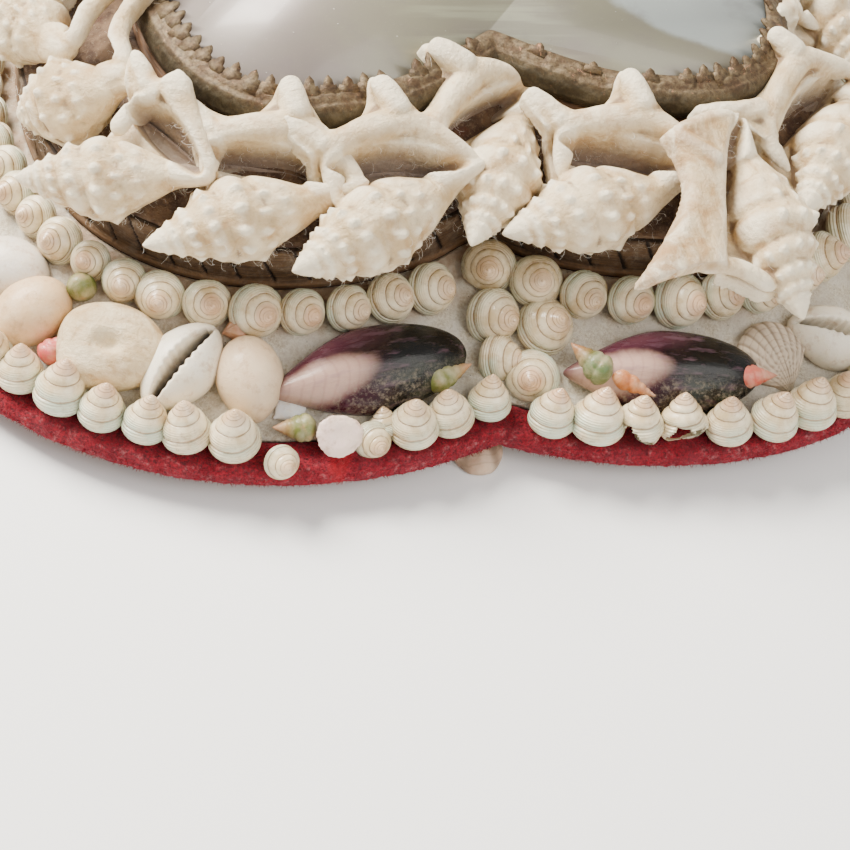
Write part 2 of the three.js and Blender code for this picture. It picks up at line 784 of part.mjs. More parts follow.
addPiece("box_wall", boxWall(), wood);
addPiece("shell_bed", shellBed(0), plaster);
addPiece("lid_rim", lidRim(0), wood);
addPiece("lid_board", lidBoard(), wood);
addPiece("lid_bed", lidBed(0), plaster);
addPiece("mirror_block", mirrorBlock(), wood);
addPiece("mirror_glass", mirrorGlass(), silvered);
addPiece("bezel", bezelRing(0), bronze);

// A piece and its clearance on every side, for cutting what lies against it
function withClearance(shape) {
  const solid = solidOf(shape(0));
  return joined([solidOf(shape(GAP)), solid.translate([0, 0, GAP]), solid]);
}

const bedTool = withClearance(shellBed);
const rimTool = withClearance(lidRim);
const lidBedTool = withClearance(lidBed);
const bezelTool = withClearance(bezelRing);
const blockTool = solidOf(plate([
  mirrorSection(BLOCK_REACH + GAP, LID_SEAT),
  mirrorSection(BLOCK_REACH + GAP, BEZEL_BOTTOM),
]));

// Small shells, with a slightly larger copy of each kept to cut what lies against it
const ROWS = {
  inner_row_right: (grow) => innerRow(INNER_START_RIGHT, INNER_PITCH_RIGHT, grow),
  inner_row_left: (grow) => innerRow(-INNER_START_LEFT, -INNER_PITCH_LEFT, grow),
  outer_row_right: (grow) => outerRow(-OUTER_START_RIGHT, OUTER_PITCH, grow),
  outer_row_left: (grow) => outerRow(-OUTER_START_LEFT, -OUTER_PITCH, grow),
  notch_tops: (grow) => notchTops(grow),
};
const rowTools = [];
Object.entries(ROWS).forEach(([name, tops]) => {
  const row = cutBy(joined(tops(0)), [bedTool, rimTool, ...rowTools]);
  addPiece(name, geometryOf(mainBody(row)), pearl);
  rowTools.push(...tops(GAP));
});

const slopeTools = [];
SLOPE_SHELLS.forEach(({ name, kind, at, offset, turn }) => {
  const { length, width, height, taper, material } = SHELL_KINDS[kind];
  const outside = SLOPE_OFFSET + offset;
  const path = fullPath(outside);
  const s = at * (path.end - path.notch);
  const make = (extra) => {
    const shell = domedShell(
      MUSSEL_LENGTH * length + 2 * extra,
      MUSSEL_LENGTH * width + 2 * extra,
      MUSSEL_LENGTH * height + 2 * extra,
      taper,
    );
    return onSlope(shell, path, outside, s, turn, 1.5 * GAP - extra);
  };
  const body = mainBody(cutBy(make(0), [bedTool, ...rowTools, ...slopeTools]));
  addPiece(name, geometryOf(body), material);
  slopeTools.push(make(GAP));
});

const pelicanTools = [];
const pelicans = [
  ...FRONT_PELICANS,
  ...backPelicans(BACK_PELICANS_RIGHT, 1),
  ...backPelicans(BACK_PELICANS_LEFT, -1),
];
pelicans.forEach((spec, i) => {
  const tools = [lidBedTool, rimTool, blockTool, bezelTool, ...rowTools, ...slopeTools, ...pelicanTools];
  const body = mainBody(cutBy(placedPelican(spec, 0), tools));
  addPiece(`pelican_shell_${i + 1}`, geometryOf(body), bone);
  pelicanTools.push(placedPelican(spec, GAP + 0.1));
});

export default part;
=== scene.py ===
import math
import random

import bpy
import numpy as np
from mathutils import Matrix, Vector, noise


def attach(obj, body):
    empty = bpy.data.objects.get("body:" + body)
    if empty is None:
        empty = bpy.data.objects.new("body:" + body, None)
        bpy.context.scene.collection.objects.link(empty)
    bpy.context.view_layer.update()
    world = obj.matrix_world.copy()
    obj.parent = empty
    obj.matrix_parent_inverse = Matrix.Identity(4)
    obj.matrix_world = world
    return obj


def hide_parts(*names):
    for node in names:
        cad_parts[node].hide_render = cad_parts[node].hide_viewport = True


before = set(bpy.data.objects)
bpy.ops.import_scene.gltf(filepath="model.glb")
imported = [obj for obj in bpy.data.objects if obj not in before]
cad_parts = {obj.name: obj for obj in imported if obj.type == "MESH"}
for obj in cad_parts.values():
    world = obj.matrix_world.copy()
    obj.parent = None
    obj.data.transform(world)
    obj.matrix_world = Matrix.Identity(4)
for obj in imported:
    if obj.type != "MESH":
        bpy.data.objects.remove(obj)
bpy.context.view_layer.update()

bl_info = {
    "name": "Shell Box",
    "version": (1, 0, 0),
    "blender": (4, 5, 0),
    "location": "View3D > Sidebar > Shell Box",
    "description": "Builds a heart-shaped shell box with a mirror in its lid",
    "category": "Add Mesh",
}

MM = 0.001

# Heart line under the inner row of shells, right half, notch at the origin, in millimetres
BOX_LINE = {
    "notch_angle": 0.15, "notch_handle": 1.7,
    "lobe_x": 35.7, "lobe_drop": 10.7, "lobe_handle_in": 23.9, "lobe_handle_out": 8.5,
    "half_width": 85.2, "widest_y": 49.4, "side_handle_front": 57.3, "side_handle_back": 53.5,
    "length": 136.4, "point_angle": 0.72, "point_handle": 36.5,
}
MIRROR_LINE = {
    "notch_angle": 0.38, "notch_handle": 2.9,
    "lobe_x": 27.5, "lobe_drop": 13.9, "lobe_handle_in": 11.2, "lobe_handle_out": 3.2,
    "half_width": 58.7, "widest_y": 23.9, "side_handle_front": 47.5, "side_handle_back": 31.0,
    "length": 80.0, "point_angle": 0.72, "point_handle": 22.0,
}
MIRROR_SHIFT = (3.9, 31.8)
MIRROR_TURN = 0.05
MIDDLE_Y = (BOX_LINE["length"] - BOX_LINE["lobe_drop"]) / 2

# Levels and reaches that the looks share with the solids, in millimetres
GAP = 0.3
BOARD_BOTTOM = 4.3
BOARD_TOP = 7.6
VELVET_TOP = 8.5
VELVET_REACH = 27.2
VELVET_BACK = 25.4
VELVET_LAP_EDGE = 20.4
WALL_INSET = 4.7
WALL_THICK = 3.0
WALL_BOTTOM = 7.9
WALL_TOP = 20.3
BED_TOE = 20.1
BED_TOP = 20.2
BED_TOE_TOP = 8.8
RIM_BOTTOM = 20.6
LID_TOP = 29.0
PANEL_THICK = 3.0
LID_SEAT = 29.3
BLOCK_REACH = 4.3
BLOCK_SHELF = 40.0
GLASS_BOTTOM = 44.4
GLASS_TOP = 46.0
MIRROR_EDGE = -0.6
BED_RUN = BED_TOE + WALL_INSET - GAP
BED_SLOPE = math.atan2(BED_TOP - BED_TOE_TOP, BED_RUN)

# Lines outside the heart that shells are measured along, and the spot that ring surfaces bulge away from
SLOPE_LINE = 11
VELVET_LINE = 22
RING_LINE = -7.4
RING_CENTRE = (0.0, 10.0)

# Distances between neighbours at which shells keep their own size
TOP_PITCH = 7.9
RING_PITCH = 27.0


# Heart outlines

def bezier(a, b, c, d, count=160):
    """Points along a cubic curve."""
    t = np.linspace(0, 1, count)[:, None]
    return (1 - t) ** 3 * a + 3 * (1 - t) ** 2 * t * b + 3 * (1 - t) * t ** 2 * c + t ** 3 * d


def half_line(line):
    """The right half of a heart line, from its notch round the lobe to its point."""
    at = lambda x, y: np.array([x, y], float)
    lobe = at(line["lobe_x"], -line["lobe_drop"])
    side = at(line["half_width"], line["widest_y"])
    point = at(0, line["length"])
    notch_out = line["notch_handle"] * at(math.cos(line["notch_angle"]), -math.sin(line["notch_angle"]))
    slant = line["point_angle"]
    point_in = point + line["point_handle"] * at(math.sin(slant), -math.cos(slant))
    parts = [
        bezier(at(0, 0), notch_out, lobe - at(line["lobe_handle_in"], 0), lobe),
        bezier(lobe, lobe + at(line["lobe_handle_out"], 0), side - at(0, line["side_handle_front"]), side),
        bezier(side, side + at(0, line["side_handle_back"]), point_in, point),
    ]
    return np.vstack([parts[0], parts[1][1:], parts[2][1:]])


def outward_normals(points):
    """Directions square to a line, to its right as it runs."""
    along = np.gradient(points, axis=0)
    along /= np.linalg.norm(along, axis=1)[:, None]
    return np.column_stack([along[:, 1], -along[:, 0]])


def arc_about(centre, radius, start, end):
    """Points on an arc round a centre."""
    angle = np.linspace(start, end, 24)[:, None]
    return centre + radius * np.hstack([np.cos(angle), np.sin(angle)])


def offset_half(line, offset):
    """Half a heart line moved outwards, or inwards when negative, with its ends on the middle line."""
    base = half_line(line)
    if offset == 0:
        return base
    normals = outward_normals(base)
    moved = base + normals * offset
    if offset > 0:
        last = math.atan2(normals[-1][1], normals[-1][0])
        moved = np.vstack([moved, arc_about(base[-1], offset, last, math.pi / 2)])
    else:
        first = math.atan2(-normals[0][1], -normals[0][0])
        moved = np.vstack([arc_about(base[0], -offset, math.pi / 2, first), moved])
    every = np.vstack([base, base * [-1, 1]])
    nearest = np.array([np.min(np.sum((every - p) ** 2, axis=1)) for p in moved])
    keep = (nearest > (abs(offset) - 0.02) ** 2) & (moved[:, 0] > 0.01)
    right = moved[keep]
    start = right[0] - (right[1] - right[0]) * right[0][0] / (right[1][0] - right[0][0] or 1)
    end = right[-1] - (right[-2] - right[-1]) * right[-1][0] / (right[-2][0] - right[-1][0] or 1)
    return np.vstack([start, right, end])


def lengths_along(points):
    """The way run from the first point to each one."""
    return np.concatenate([[0], np.cumsum(np.linalg.norm(np.diff(points, axis=0), axis=1))])


def resampled(points, count):
    """Evenly spaced points along a line."""
    lengths = lengths_along(points)
    wanted = np.linspace(0, lengths[-1], count)
    return np.column_stack([np.interp(wanted, lengths, points[:, k]) for k in (0, 1)])


def box_outline(offset, half_count=200):
    """A closed heart at an offset from the box's line, in the box's frame."""
    half = resampled(offset_half(BOX_LINE, offset), half_count + 1)
    whole = np.vstack([half, half[-2:0:-1] * [-1, 1]])
    return whole - [0, MIDDLE_Y]


def mirror_outline(offset, half_count=200):
    """A closed heart at an offset from the mirror's line, in the box's frame."""
    half = resampled(offset_half(MIRROR_LINE, offset), half_count + 1)
    whole = np.vstack([half, half[-2:0:-1] * [-1, 1]])
    c, s = math.cos(MIRROR_TURN), math.sin(MIRROR_TURN)
    turned = whole @ np.array([[c, s], [-s, c]])
    return turned + [MIRROR_SHIFT[0], MIRROR_SHIFT[1] - MIDDLE_Y]


class HeartPath:
    """A line at a distance outside the heart line, measured from the notch, positive to the right."""

    def __init__(self, offset):
        half = offset_half(BOX_LINE, offset)
        self.points = np.vstack([half[:0:-1] * [-1, 1], half]) - [0, MIDDLE_Y]
        self.lengths = lengths_along(self.points)
        self.notch = self.lengths[len(half) - 1]
        self.half = self.lengths[-1] - self.notch

    def point(self, distance):
        at = np.clip(self.notch + distance, 0, self.lengths[-1])
        return np.array([np.interp(at, self.lengths, self.points[:, k]) for k in (0, 1)])

    def place(self, distance):
        if distance > self.half:
            distance -= 2 * self.half
        ahead, behind = self.point(distance + 0.4), self.point(distance - 0.4)
        return self.point(distance), math.atan2(ahead[1] - behind[1], ahead[0] - behind[0])


def beside(path_offset, distance, offset):
    """A spot and a direction at a distance along one line and an offset outside the heart line."""
    here, along = HeartPath(path_offset).place(distance)
    outward = np.array([math.sin(along), -math.cos(along)])
    return here + outward * (offset - path_offset), along


def bed_height(offset):
    """The level of the sloped bed at an offset outside the heart line."""
    return BED_TOE_TOP + (BED_TOE - offset) / BED_RUN * (BED_TOP - BED_TOE_TOP)


# Mesh making

def new_object(name, places, faces, material=None, attributes=None, smooth=True):
    """An object with a mesh from places in millimetres and attributes given at its points."""
    mesh = bpy.data.meshes.new(name)
    mesh.from_pydata((np.asarray(places, float) * MM).tolist(), [], faces)
    for key, values in (attributes or {}).items():
        vectors = np.asarray(values, np.float32).ravel()
        mesh.attributes.new(key, "FLOAT_VECTOR", "POINT").data.foreach_set("vector", vectors)
    mesh.shade_smooth() if smooth else mesh.shade_flat()
    if material:
        mesh.materials.append(material)
    made = bpy.data.objects.new(name, mesh)
    bpy.context.scene.collection.objects.link(made)
    return made


def quads_between(rows, columns, wrap_rows=False):
    """Faces of a grid of points that closes on itself along its columns, and along its rows if asked."""
    faces = []
    for i in range(rows if wrap_rows else rows - 1):
        k = (i + 1) % rows
        for j in range(columns):
            m = (j + 1) % columns
            faces.append((i * columns + j, i * columns + m, k * columns + m, k * columns + j))
    return faces


def outward_faces(places, faces):
    """The faces, turned round if the closed mesh they make is inside out."""
    volume = 0.0
    for face in faces[:]:
        a, b, c = places[face[0]], places[face[1]], places[face[2]]
        volume += np.dot(a, np.cross(b, c))
        if len(face) == 4:
            d = places[face[3]]
            volume += np.dot(a, np.cross(c, d))
    return faces if volume > 0 else [face[::-1] for face in faces]


def loft(name, outlines, levels, material, closed=True, roughness=None, attributes=None):
    """A ring when closed, else a plate with flat ends, through outlines at levels."""
    places = np.vstack([np.column_stack([o, np.full(len(o), z)]) for o, z in zip(outlines, levels)])
    rows, columns = len(outlines), len(outlines[0])
    faces = quads_between(rows, columns, wrap_rows=closed)
    if not closed:
        faces.append(tuple(range(columns))[::-1])
        faces.append(tuple(range((rows - 1) * columns, rows * columns)))
    if roughness:
        places = roughness(places)
    check = [face for face in faces if len(face) == 4]
    if outward_faces(places, check) is not check:
        faces = [face[::-1] for face in faces]
    return new_object(name, places, faces, material, attributes)


def profile_ring(name, outline, profile, half_count, material, roughness=None):
    """A ring whose section is a list of (offset, height), with its section place kept as an attribute."""
    outlines = [outline(offset, half_count) for offset, _ in profile]
    levels = [height for _, height in profile]
    columns = len(outlines[0])
    along = np.linspace(0, 1, columns, endpoint=False)
    section = np.vstack([
        np.column_stack([along, np.full(columns, offset), np.full(columns, level)])
        for (offset, level) in profile
    ])
    shift = (lambda places: roughness(places, section)) if roughness else None
    return loft(name, outlines, levels, material, True, shift, {"section": section})


def smooth_profile(points, count):
    """More points along a section, with its corners softened."""
    points = np.array(points, float)
    closed = np.vstack([points, points[0]])
    lengths = lengths_along(closed)
    wanted = np.linspace(0, lengths[-1], count, endpoint=False)
    return [tuple(np.interp(w, lengths, closed[:, k]) for k in (0, 1)) for w in wanted]


def grain(place, size, seed=0.0):
    """Soft noise at one place, with lumps of about the given size."""
    return noise.noise(Vector((place[0] / size + seed, place[1] / size - seed, place[2] / size)))


def grains(places, size, seed=0.0):
    """Soft noise at every place."""
    return np.array([grain(p, size, seed) for p in places])


def pushed_out(places, amount):
    """Places moved level, away from a spot in the middle of the box, by an amount each."""
    away = places[:, :2] - np.array(RING_CENTRE)
    away /= np.linalg.norm(away, axis=1)[:, None]
    places = places.copy()
    places[:, :2] += away * amount[:, None]
    return places


def coordinates_of(made):
    """A mesh's vertices in millimetres."""
    co = np.zeros(len(made.data.vertices) * 3, np.float32)
    made.data.vertices.foreach_get("co", co)
    return co.reshape(-1, 3).astype(float) / MM


def move_vertices(made, places):
    """Sets a mesh's vertices, given in millimetres."""
    made.data.vertices.foreach_set("co", (places * MM).astype(np.float32).ravel())
    made.data.update()


def keep_plain(made):
    """Applies an object's modifiers and leaves it as a plain mesh."""
    graph = bpy.context.evaluated_depsgraph_get()
    plain = bpy.data.meshes.new_from_object(made.evaluated_get(graph))
    made.modifiers.clear()
    old = made.data
    made.data = plain
    bpy.data.meshes.remove(old)
    return made


def joined_objects(name, objects):
    """One object from several plain ones, keeping their attributes and materials."""
    places, faces, slots, vectors = [], [], [], {}
    materials = []
    for made in objects:
        start = len(places)
        mesh = made.data
        places.extend(tuple(v.co) for v in mesh.vertices)
        for face in mesh.polygons:
            faces.append(tuple(start + v for v in face.vertices))
            material = mesh.materials[face.material_index]
            if material not in materials:
                materials.append(material)
            slots.append(materials.index(material))
        for layer in mesh.attributes:
            if layer.data_type == "FLOAT_VECTOR" and layer.name != "position":
                values = np.zeros(len(mesh.vertices) * 3, np.float32)
                layer.data.foreach_get("vector", values)
                vectors.setdefault(layer.name, []).append((start, values.reshape(-1, 3)))
    mesh = bpy.data.meshes.new(name)
    mesh.from_pydata(places, [], faces)
    for material in materials:
        mesh.materials.append(material)
    mesh.polygons.foreach_set("material_index", slots)
    for key, chunks in vectors.items():
        whole = np.zeros((len(places), 3), np.float32)
        for start, values in chunks:
            whole[start:start + len(values)] = values
        mesh.attributes.new(key, "FLOAT_VECTOR", "POINT").data.foreach_set("vector", whole.ravel())
    mesh.shade_smooth()
    for made in objects:
        old = made.data
        bpy.data.objects.remove(made)
        if old.users == 0:
            bpy.data.meshes.remove(old)
    whole = bpy.data.objects.new(name, mesh)
    bpy.context.scene.collection.objects.link(whole)
    return whole


def finished(made, slot_name, *nodes):
    """Ties a finished piece to the box's body, its material slot and the solids it stands for."""
    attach(made, "root")
    if nodes:
        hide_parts(*nodes)
    return made


# Shader making

class Value:
    """A shader socket that takes part in arithmetic."""

    def __init__(self, shade, socket):
        self.shade = shade
        self.socket = socket

    def _math(self, operation, other=None, swapped=False):
        pair = (other, self) if swapped else (self, other)
        return self.shade.node("ShaderNodeMath", [p for p in pair if p is not None], operation=operation)

    def __add__(self, other):
        return self._math("ADD", other)

    def __sub__(self, other):
        return self._math("SUBTRACT", other)

    def __rsub__(self, other):
        return self._math("SUBTRACT", other, True)

    def __mul__(self, other):
        return self._math("MULTIPLY", other)

    def __truediv__(self, other):
        return self._math("DIVIDE", other)

    def __rtruediv__(self, other):
        return self._math("DIVIDE", other, True)

    def __pow__(self, other):
        return self._math("POWER", other)

    __radd__ = __add__
    __rmul__ = __mul__

    def fract(self):
        return self._math("FRACT")

    def sin(self):
        return self._math("SINE")

    def absolute(self):
        return self._math("ABSOLUTE")

    def least(self, other):
        return self._math("MINIMUM", other)

    def most(self, other):
        return self._math("MAXIMUM", other)

    def arctan2(self, other):
        return self._math("ARCTAN2", other)

    def clamped(self):
        return self.most(0.0).least(1.0)

    def between(self, low, high):
        """0 below low, 1 above high, smooth in between."""
        return self.shade.node("ShaderNodeMapRange", {"Value": self, "From Min": low, "From Max": high},
                               interpolation_type="SMOOTHSTEP")


class Shade:
    """One material, built by wiring nodes into its principled shader."""

    def __init__(self, name, roughness=0.6, metallic=0.0, **constants):
        self.material = bpy.data.materials.new(name)
        self.material.use_nodes = True
        self.tree = self.material.node_tree
        self.out = self.tree.nodes["Principled BSDF"]
        self.out.inputs["Roughness"].default_value = roughness
        self.out.inputs["Metallic"].default_value = metallic
        for key, value in constants.items():
            self.out.inputs[key.replace("_", " ")].default_value = value
        self.coordinates = self.node("ShaderNodeTexCoord", output="Object")

    def node(self, kind, inputs=None, output=0, **settings):
        made = self.tree.nodes.new(kind)
        for key, value in settings.items():
            setattr(made, key, value)
        pairs = inputs.items() if isinstance(inputs, dict) else enumerate(inputs or [])
        for key, value in pairs:
            if isinstance(value, Value):
                self.tree.links.new(value.socket, made.inputs[key])
            elif value is not None:
                made.inputs[key].default_value = value
        return Value(self, made.outputs[output])

    def noise(self, scale, detail=4.0, roughness=0.55, vector=None, distortion=0.0):
        """Noise with features about scale millimetres across."""
        return self.node("ShaderNodeTexNoise", {
            "Vector": vector or self.coordinates, "Scale": 1000.0 / scale,
            "Detail": detail, "Roughness": roughness, "Distortion": distortion,
        })

    def cells(self, scale):
        """Cells about scale millimetres across, as the distance from the nearest cell's middle."""
        sockets = {"Vector": self.coordinates, "Scale": 1000.0 / scale}
        return self.node("ShaderNodeTexVoronoi", sockets, output="Distance")

    def attribute(self, name):
        return self.node("ShaderNodeAttribute", output="Vector", attribute_name=name)

    def parts(self, vector):
        split = self.node("ShaderNodeSeparateXYZ", [vector])
        return [Value(self, split.socket.node.outputs[k]) for k in range(3)]

    def mix(self, factor, a, b):
        """Goes from one colour to the other as the factor goes from 0 to 1."""
        made = self.tree.nodes.new("ShaderNodeMix")
        made.data_type = "RGBA"
        for key, value in (("Factor_Float", factor), ("A_Color", a), ("B_Color", b)):
            socket = next(s for s in made.inputs if s.identifier == key)
            if isinstance(value, Value):
                self.tree.links.new(value.socket, socket)
            else:
                socket.default_value = value
        return Value(self, next(s for s in made.outputs if s.identifier == "Result_Color"))

    def stretched(self, x, y, z):
        """Coordinates from three values, to draw a texture out along one of them."""
        return self.node("ShaderNodeCombineXYZ", [x, y, z])

    def finish(self, color, roughness=None, bump=None, distance=0.3, metallic=None):
        """Wires colour, roughness, metal and a relief with its height in millimetres."""
        wired = {"Base Color": color, "Roughness": roughness, "Metallic": metallic}
        for key, value in wired.items():
            if isinstance(value, Value):
                self.tree.links.new(value.socket, self.out.inputs[key])
            elif value is not None:
                self.out.inputs[key].default_value = value
        if bump is not None:
            normal = self.node("ShaderNodeBump", {"Height": bump, "Distance": distance * MM})
            self.tree.links.new(normal.socket, self.out.inputs["Normal"])
        return self.material


def tone(red, green, blue):
    """A colour given in screen values from 0 to 255."""
    shares = [value / 255 for value in (red, green, blue)]
    linear = [share / 12.92 if share < 0.04 else ((share + 0.055) / 1.055) ** 2.4 for share in shares]
    return (*linear, 1.0)


def wood_material():
    """Plain brown board, for what mostly stays hidden."""
    shade = Shade("wood", roughness=0.7)
    x, y, z = shade.parts(shade.coordinates)
    fibre = shade.noise(1.6, 6, 0.6, shade.stretched(x * 0.25, y * 0.25, z * 3.0), 0.4)
    blotch = shade.noise(14, 3)
    color = shade.mix(fibre.between(0.3, 0.7), tone(70, 46, 28), tone(112, 78, 48))
    color = shade.mix(blotch.between(0.45, 0.75) * 0.5, color, tone(62, 40, 24))
    powder = shade.noise(3.2, 5, 0.7).between(0.55, 0.75) * 0.25
    color = shade.mix(powder, color, tone(190, 176, 156))
    return shade.finish(color, fibre * 0.3 + 0.5, fibre + blotch * 0.4, 0.25)


def rim_material():
    """Dusty brown wood of the lid's rim, dark inside its saw cuts."""
    shade = Shade("rim_wood", roughness=0.65)
    _, depth, level = shade.parts(shade.attribute("section"))
    x, y, z = shade.parts(shade.coordinates)
    fibre = shade.noise(1.2, 6, 0.65, shade.stretched(x * 0.2, y * 0.2, z * 3.5), 0.5)
    blotch = shade.noise(9, 4, 0.6)
    color = shade.mix(fibre.between(0.3, 0.7), tone(66, 46, 28), tone(112, 84, 54))
    color = shade.mix(blotch.between(0.4, 0.7) * 0.55, color, tone(74, 52, 34))
    lip = level.between(RIM_BOTTOM + 1.4, RIM_BOTTOM + 0.9)
    color = shade.mix(lip * 0.4, color, tone(140, 104, 68))
    powder = shade.noise(2.2, 6, 0.72)
    high = level.between(LID_TOP - 7.0, LID_TOP - 0.5)
    dust = (powder.between(0.45, 0.7) * 0.55) * (high * 0.65 + 0.35)
    color = shade.mix(dust, color, tone(164, 148, 128))
    # Painted shade inside the saw cuts.
    cut = depth.between(-WALL_INSET - 0.25, -WALL_INSET - 0.5)
    color = shade.mix(cut * 0.85, color, tone(40, 27, 18))
    return shade.finish(color, powder * 0.3 + 0.5, fibre * 0.6 + powder * 1.0, 0.35)


def velvet_material(name="velvet", pile=False):
    """Crimson velvet, pale where worn and fluffy, with one spot that kept its bright red."""
    shade = Shade(name, roughness=0.95, Sheen_Weight=0.3, Sheen_Roughness=0.5)
    shade.out.inputs["Sheen Tint"].default_value = tone(230, 100, 120)
    along, offset, _ = shade.parts(shade.attribute("section"))
    tuft = shade.noise(0.5, 5, 0.75)
    patch = shade.noise(3.4, 5, 0.65)
    color = shade.mix(tuft.between(0.34, 0.66), tone(56, 1, 12), tone(182, 12, 38))
    color = shade.mix(patch.between(0.4, 0.7) * 0.6, color, tone(96, 4, 24))
    at_edge = offset.between(VELVET_REACH - 2.6, VELVET_REACH - 0.1)
    worn = shade.noise(1.6, 6, 0.75).between(0.52, 0.7) * at_edge
    color = shade.mix(worn * 0.7, color, tone(196, 120, 122))
    fluff = shade.noise(0.8, 6, 0.8).between(0.63, 0.73) * 0.5
    color = shade.mix(fluff, color, tone(220, 150, 148))
    bright = ((along * 1000.0 - 954.0) / 3.0) ** 2.0 + ((offset - VELVET_REACH + 2.0) / 2.6) ** 2.0
    color = shade.mix(bright.between(1.4, 0.4) * 0.35, color, tone(212, 10, 20))
    if pile:
        return shade.finish(color, 0.95)
    return shade.finish(color, 0.95, tuft + patch * 0.6, 0.8)


def plaster_material():
    """Sandy off-white plaster of the slope, browned by glue beside the inner row."""
    shade = Shade("plaster", roughness=0.95)
    _, offset, _ = shade.parts(shade.attribute("section"))
    sand = shade.noise(0.5, 6, 0.8)
    lump = shade.noise(3.5, 5, 0.6)
    patch = shade.noise(12, 4, 0.6)
    color = shade.mix(sand.between(0.36, 0.64), tone(196, 180, 154), tone(246, 238, 218))
    color = shade.mix(lump.between(0.35, 0.65) * 0.6, color, tone(244, 238, 226))
    color = shade.mix(patch.between(0.45, 0.75) * 0.35, color, tone(176, 154, 126))
    glue = offset.between(6.0, 1.0) * shade.noise(4, 5, 0.6).between(0.3, 0.6)
    color = shade.mix(glue * 0.7, color, tone(168, 128, 92))
    grit = shade.cells(0.9).between(0.18, 0.06)
    color = shade.mix(grit * shade.noise(2, 3).between(0.5, 0.66), color, tone(96, 80, 64))
    return shade.finish(color, 0.95, sand * 1.2 + lump * 1.2, 0.55)


def glue_and_shade_material():
    """Brown glue and plaster under the ring of shells on the lid."""
    shade = Shade("glue", roughness=0.7)
    lump = shade.noise(3.5, 5, 0.6)
    sand = shade.noise(0.6, 6, 0.8)
    # Dark brown base: the glue's own colour with painted shade from the shells above.
    color = shade.mix(lump.between(0.35, 0.65), tone(78, 54, 38), tone(128, 100, 74))
    color = shade.mix(sand.between(0.52, 0.68) * 0.6, color, tone(170, 150, 124))
    color = shade.mix(shade.noise(6, 4, 0.6).between(0.55, 0.72) * 0.6, color, tone(104, 50, 28))
    return shade.finish(color, sand * 0.3 + 0.5, sand * 0.9 + lump, 0.8)


def whorl_place(shade):
    """How far a point lies between two sutures, from 0 to 1, and which whorl it is on."""
    whorl, cosine, sine = shade.parts(shade.attribute("whorl"))
    turn = sine.arctan2(cosine) / (2 * math.pi)
    return (whorl - turn).fract(), whorl


def pearl_material():
    """Cream and greenish pearl of the small top shells, with lines and brown sutures."""
    shade = Shade("pearl", roughness=0.3, Coat_Weight=0.3, Coat_Roughness=0.22)
    place, whorl = whorl_place(shade)
    tint, size, pick = shade.parts(shade.attribute("tint"))
    suture = (place.between(0.1, 0.0) + place.between(0.93, 1.0)).clamped()
    body = whorl.between(1.3, 0.4)
    cloud = shade.noise(3.4, 4, 0.6)
    color = shade.mix(cloud.between(0.3, 0.7), tone(202, 178, 136), tone(236, 222, 190))
    # Painted sheen: greenish pearl lustre on the body whorl.
    sheen = body * shade.noise(4.5, 3).between(0.34, 0.6) * (tint * 0.7 + 0.3)
    color = shade.mix(sheen * 0.8, color, tone(200, 216, 194))
    line = ((place * 7.0).fract() - 0.5).absolute() * 2.0
    color = shade.mix(line.between(0.45, 1.0) * body * 0.5, color, tone(160, 146, 116))
    color = shade.mix(suture * 0.7, color, tone(166, 126, 90))
    color = shade.mix(whorl.between(1.7, 3.1) * (0.4 + pick * 0.4), color, tone(212, 168, 132))
    dirt = shade.noise(1.3, 6, 0.75).between(0.54, 0.74)
    color = shade.mix(dirt * (0.25 + size * 0.4), color, tone(140, 106, 72))
    ridges = (place * (2 * math.pi * 7.0)).sin() * body
    growth = shade.noise(0.8, 4, 0.6)
    relief = ridges * 0.3 + growth * 0.4 - suture * 1.2
    return shade.finish(color, cloud * 0.2 + 0.18 + dirt * 0.3, relief, 0.16)


def bone_material():
    """Dull cream shell with tan stains, dark in its creases and in the hollow of its mouth."""
    shade = Shade("bone_shell", roughness=0.5, Subsurface_Weight=0.06)
    shade.out.inputs["Subsurface Radius"].default_value = (0.004, 0.003, 0.002)
    x, y, z = shade.parts(shade.attribute("shell"))
    warm, hollow, crease = shade.parts(shade.attribute("mark"))
    cloud = shade.noise(7, 5, 0.6)
    stain = shade.noise(4.2, 6, 0.65, distortion=0.6)
    fine = shade.noise(1.1, 6, 0.7)
    color = shade.mix(cloud.between(0.3, 0.68), tone(198, 170, 126), tone(234, 216, 180))
    color = shade.mix(stain.between(0.46, 0.68) * 0.7, color, tone(178, 138, 88))
    streak = shade.noise(1.5, 5, 0.6, shade.stretched(x * 0.00035, y * 0.0014, z * 0.0014))
    color = shade.mix(streak.between(0.54, 0.72) * 0.25, color, tone(188, 148, 98))
    # Painted shade in the creases.
    color = shade.mix((crease * 1.6 + fine * 0.5).between(0.3, 1.0) * 0.85, color, tone(124, 96, 68))
    # Painted highlight on the ridges.
    color = shade.mix((0.0 - crease * 1.4 - fine * 0.2).between(0.0, 0.8) * 0.7, color, tone(246, 236, 212))
    # Greyish lilac in the mouth's hollow: partly the shell's own colour, partly painted shade.
    color = shade.mix(hollow.clamped() * 0.84, color, tone(134, 118, 108))
    color = shade.mix(warm.clamped() * stain.between(0.3, 0.6) * 0.75, color, tone(164, 116, 58))
    speck = shade.noise(0.8, 6, 0.8).between(0.6, 0.74)
    color = shade.mix(speck * 0.5, color, tone(150, 118, 86))
    relief = fine * 1.1 + streak * 0.7 + cloud * 0.4
    return shade.finish(color, stain * 0.3 + 0.3, relief, 0.45)


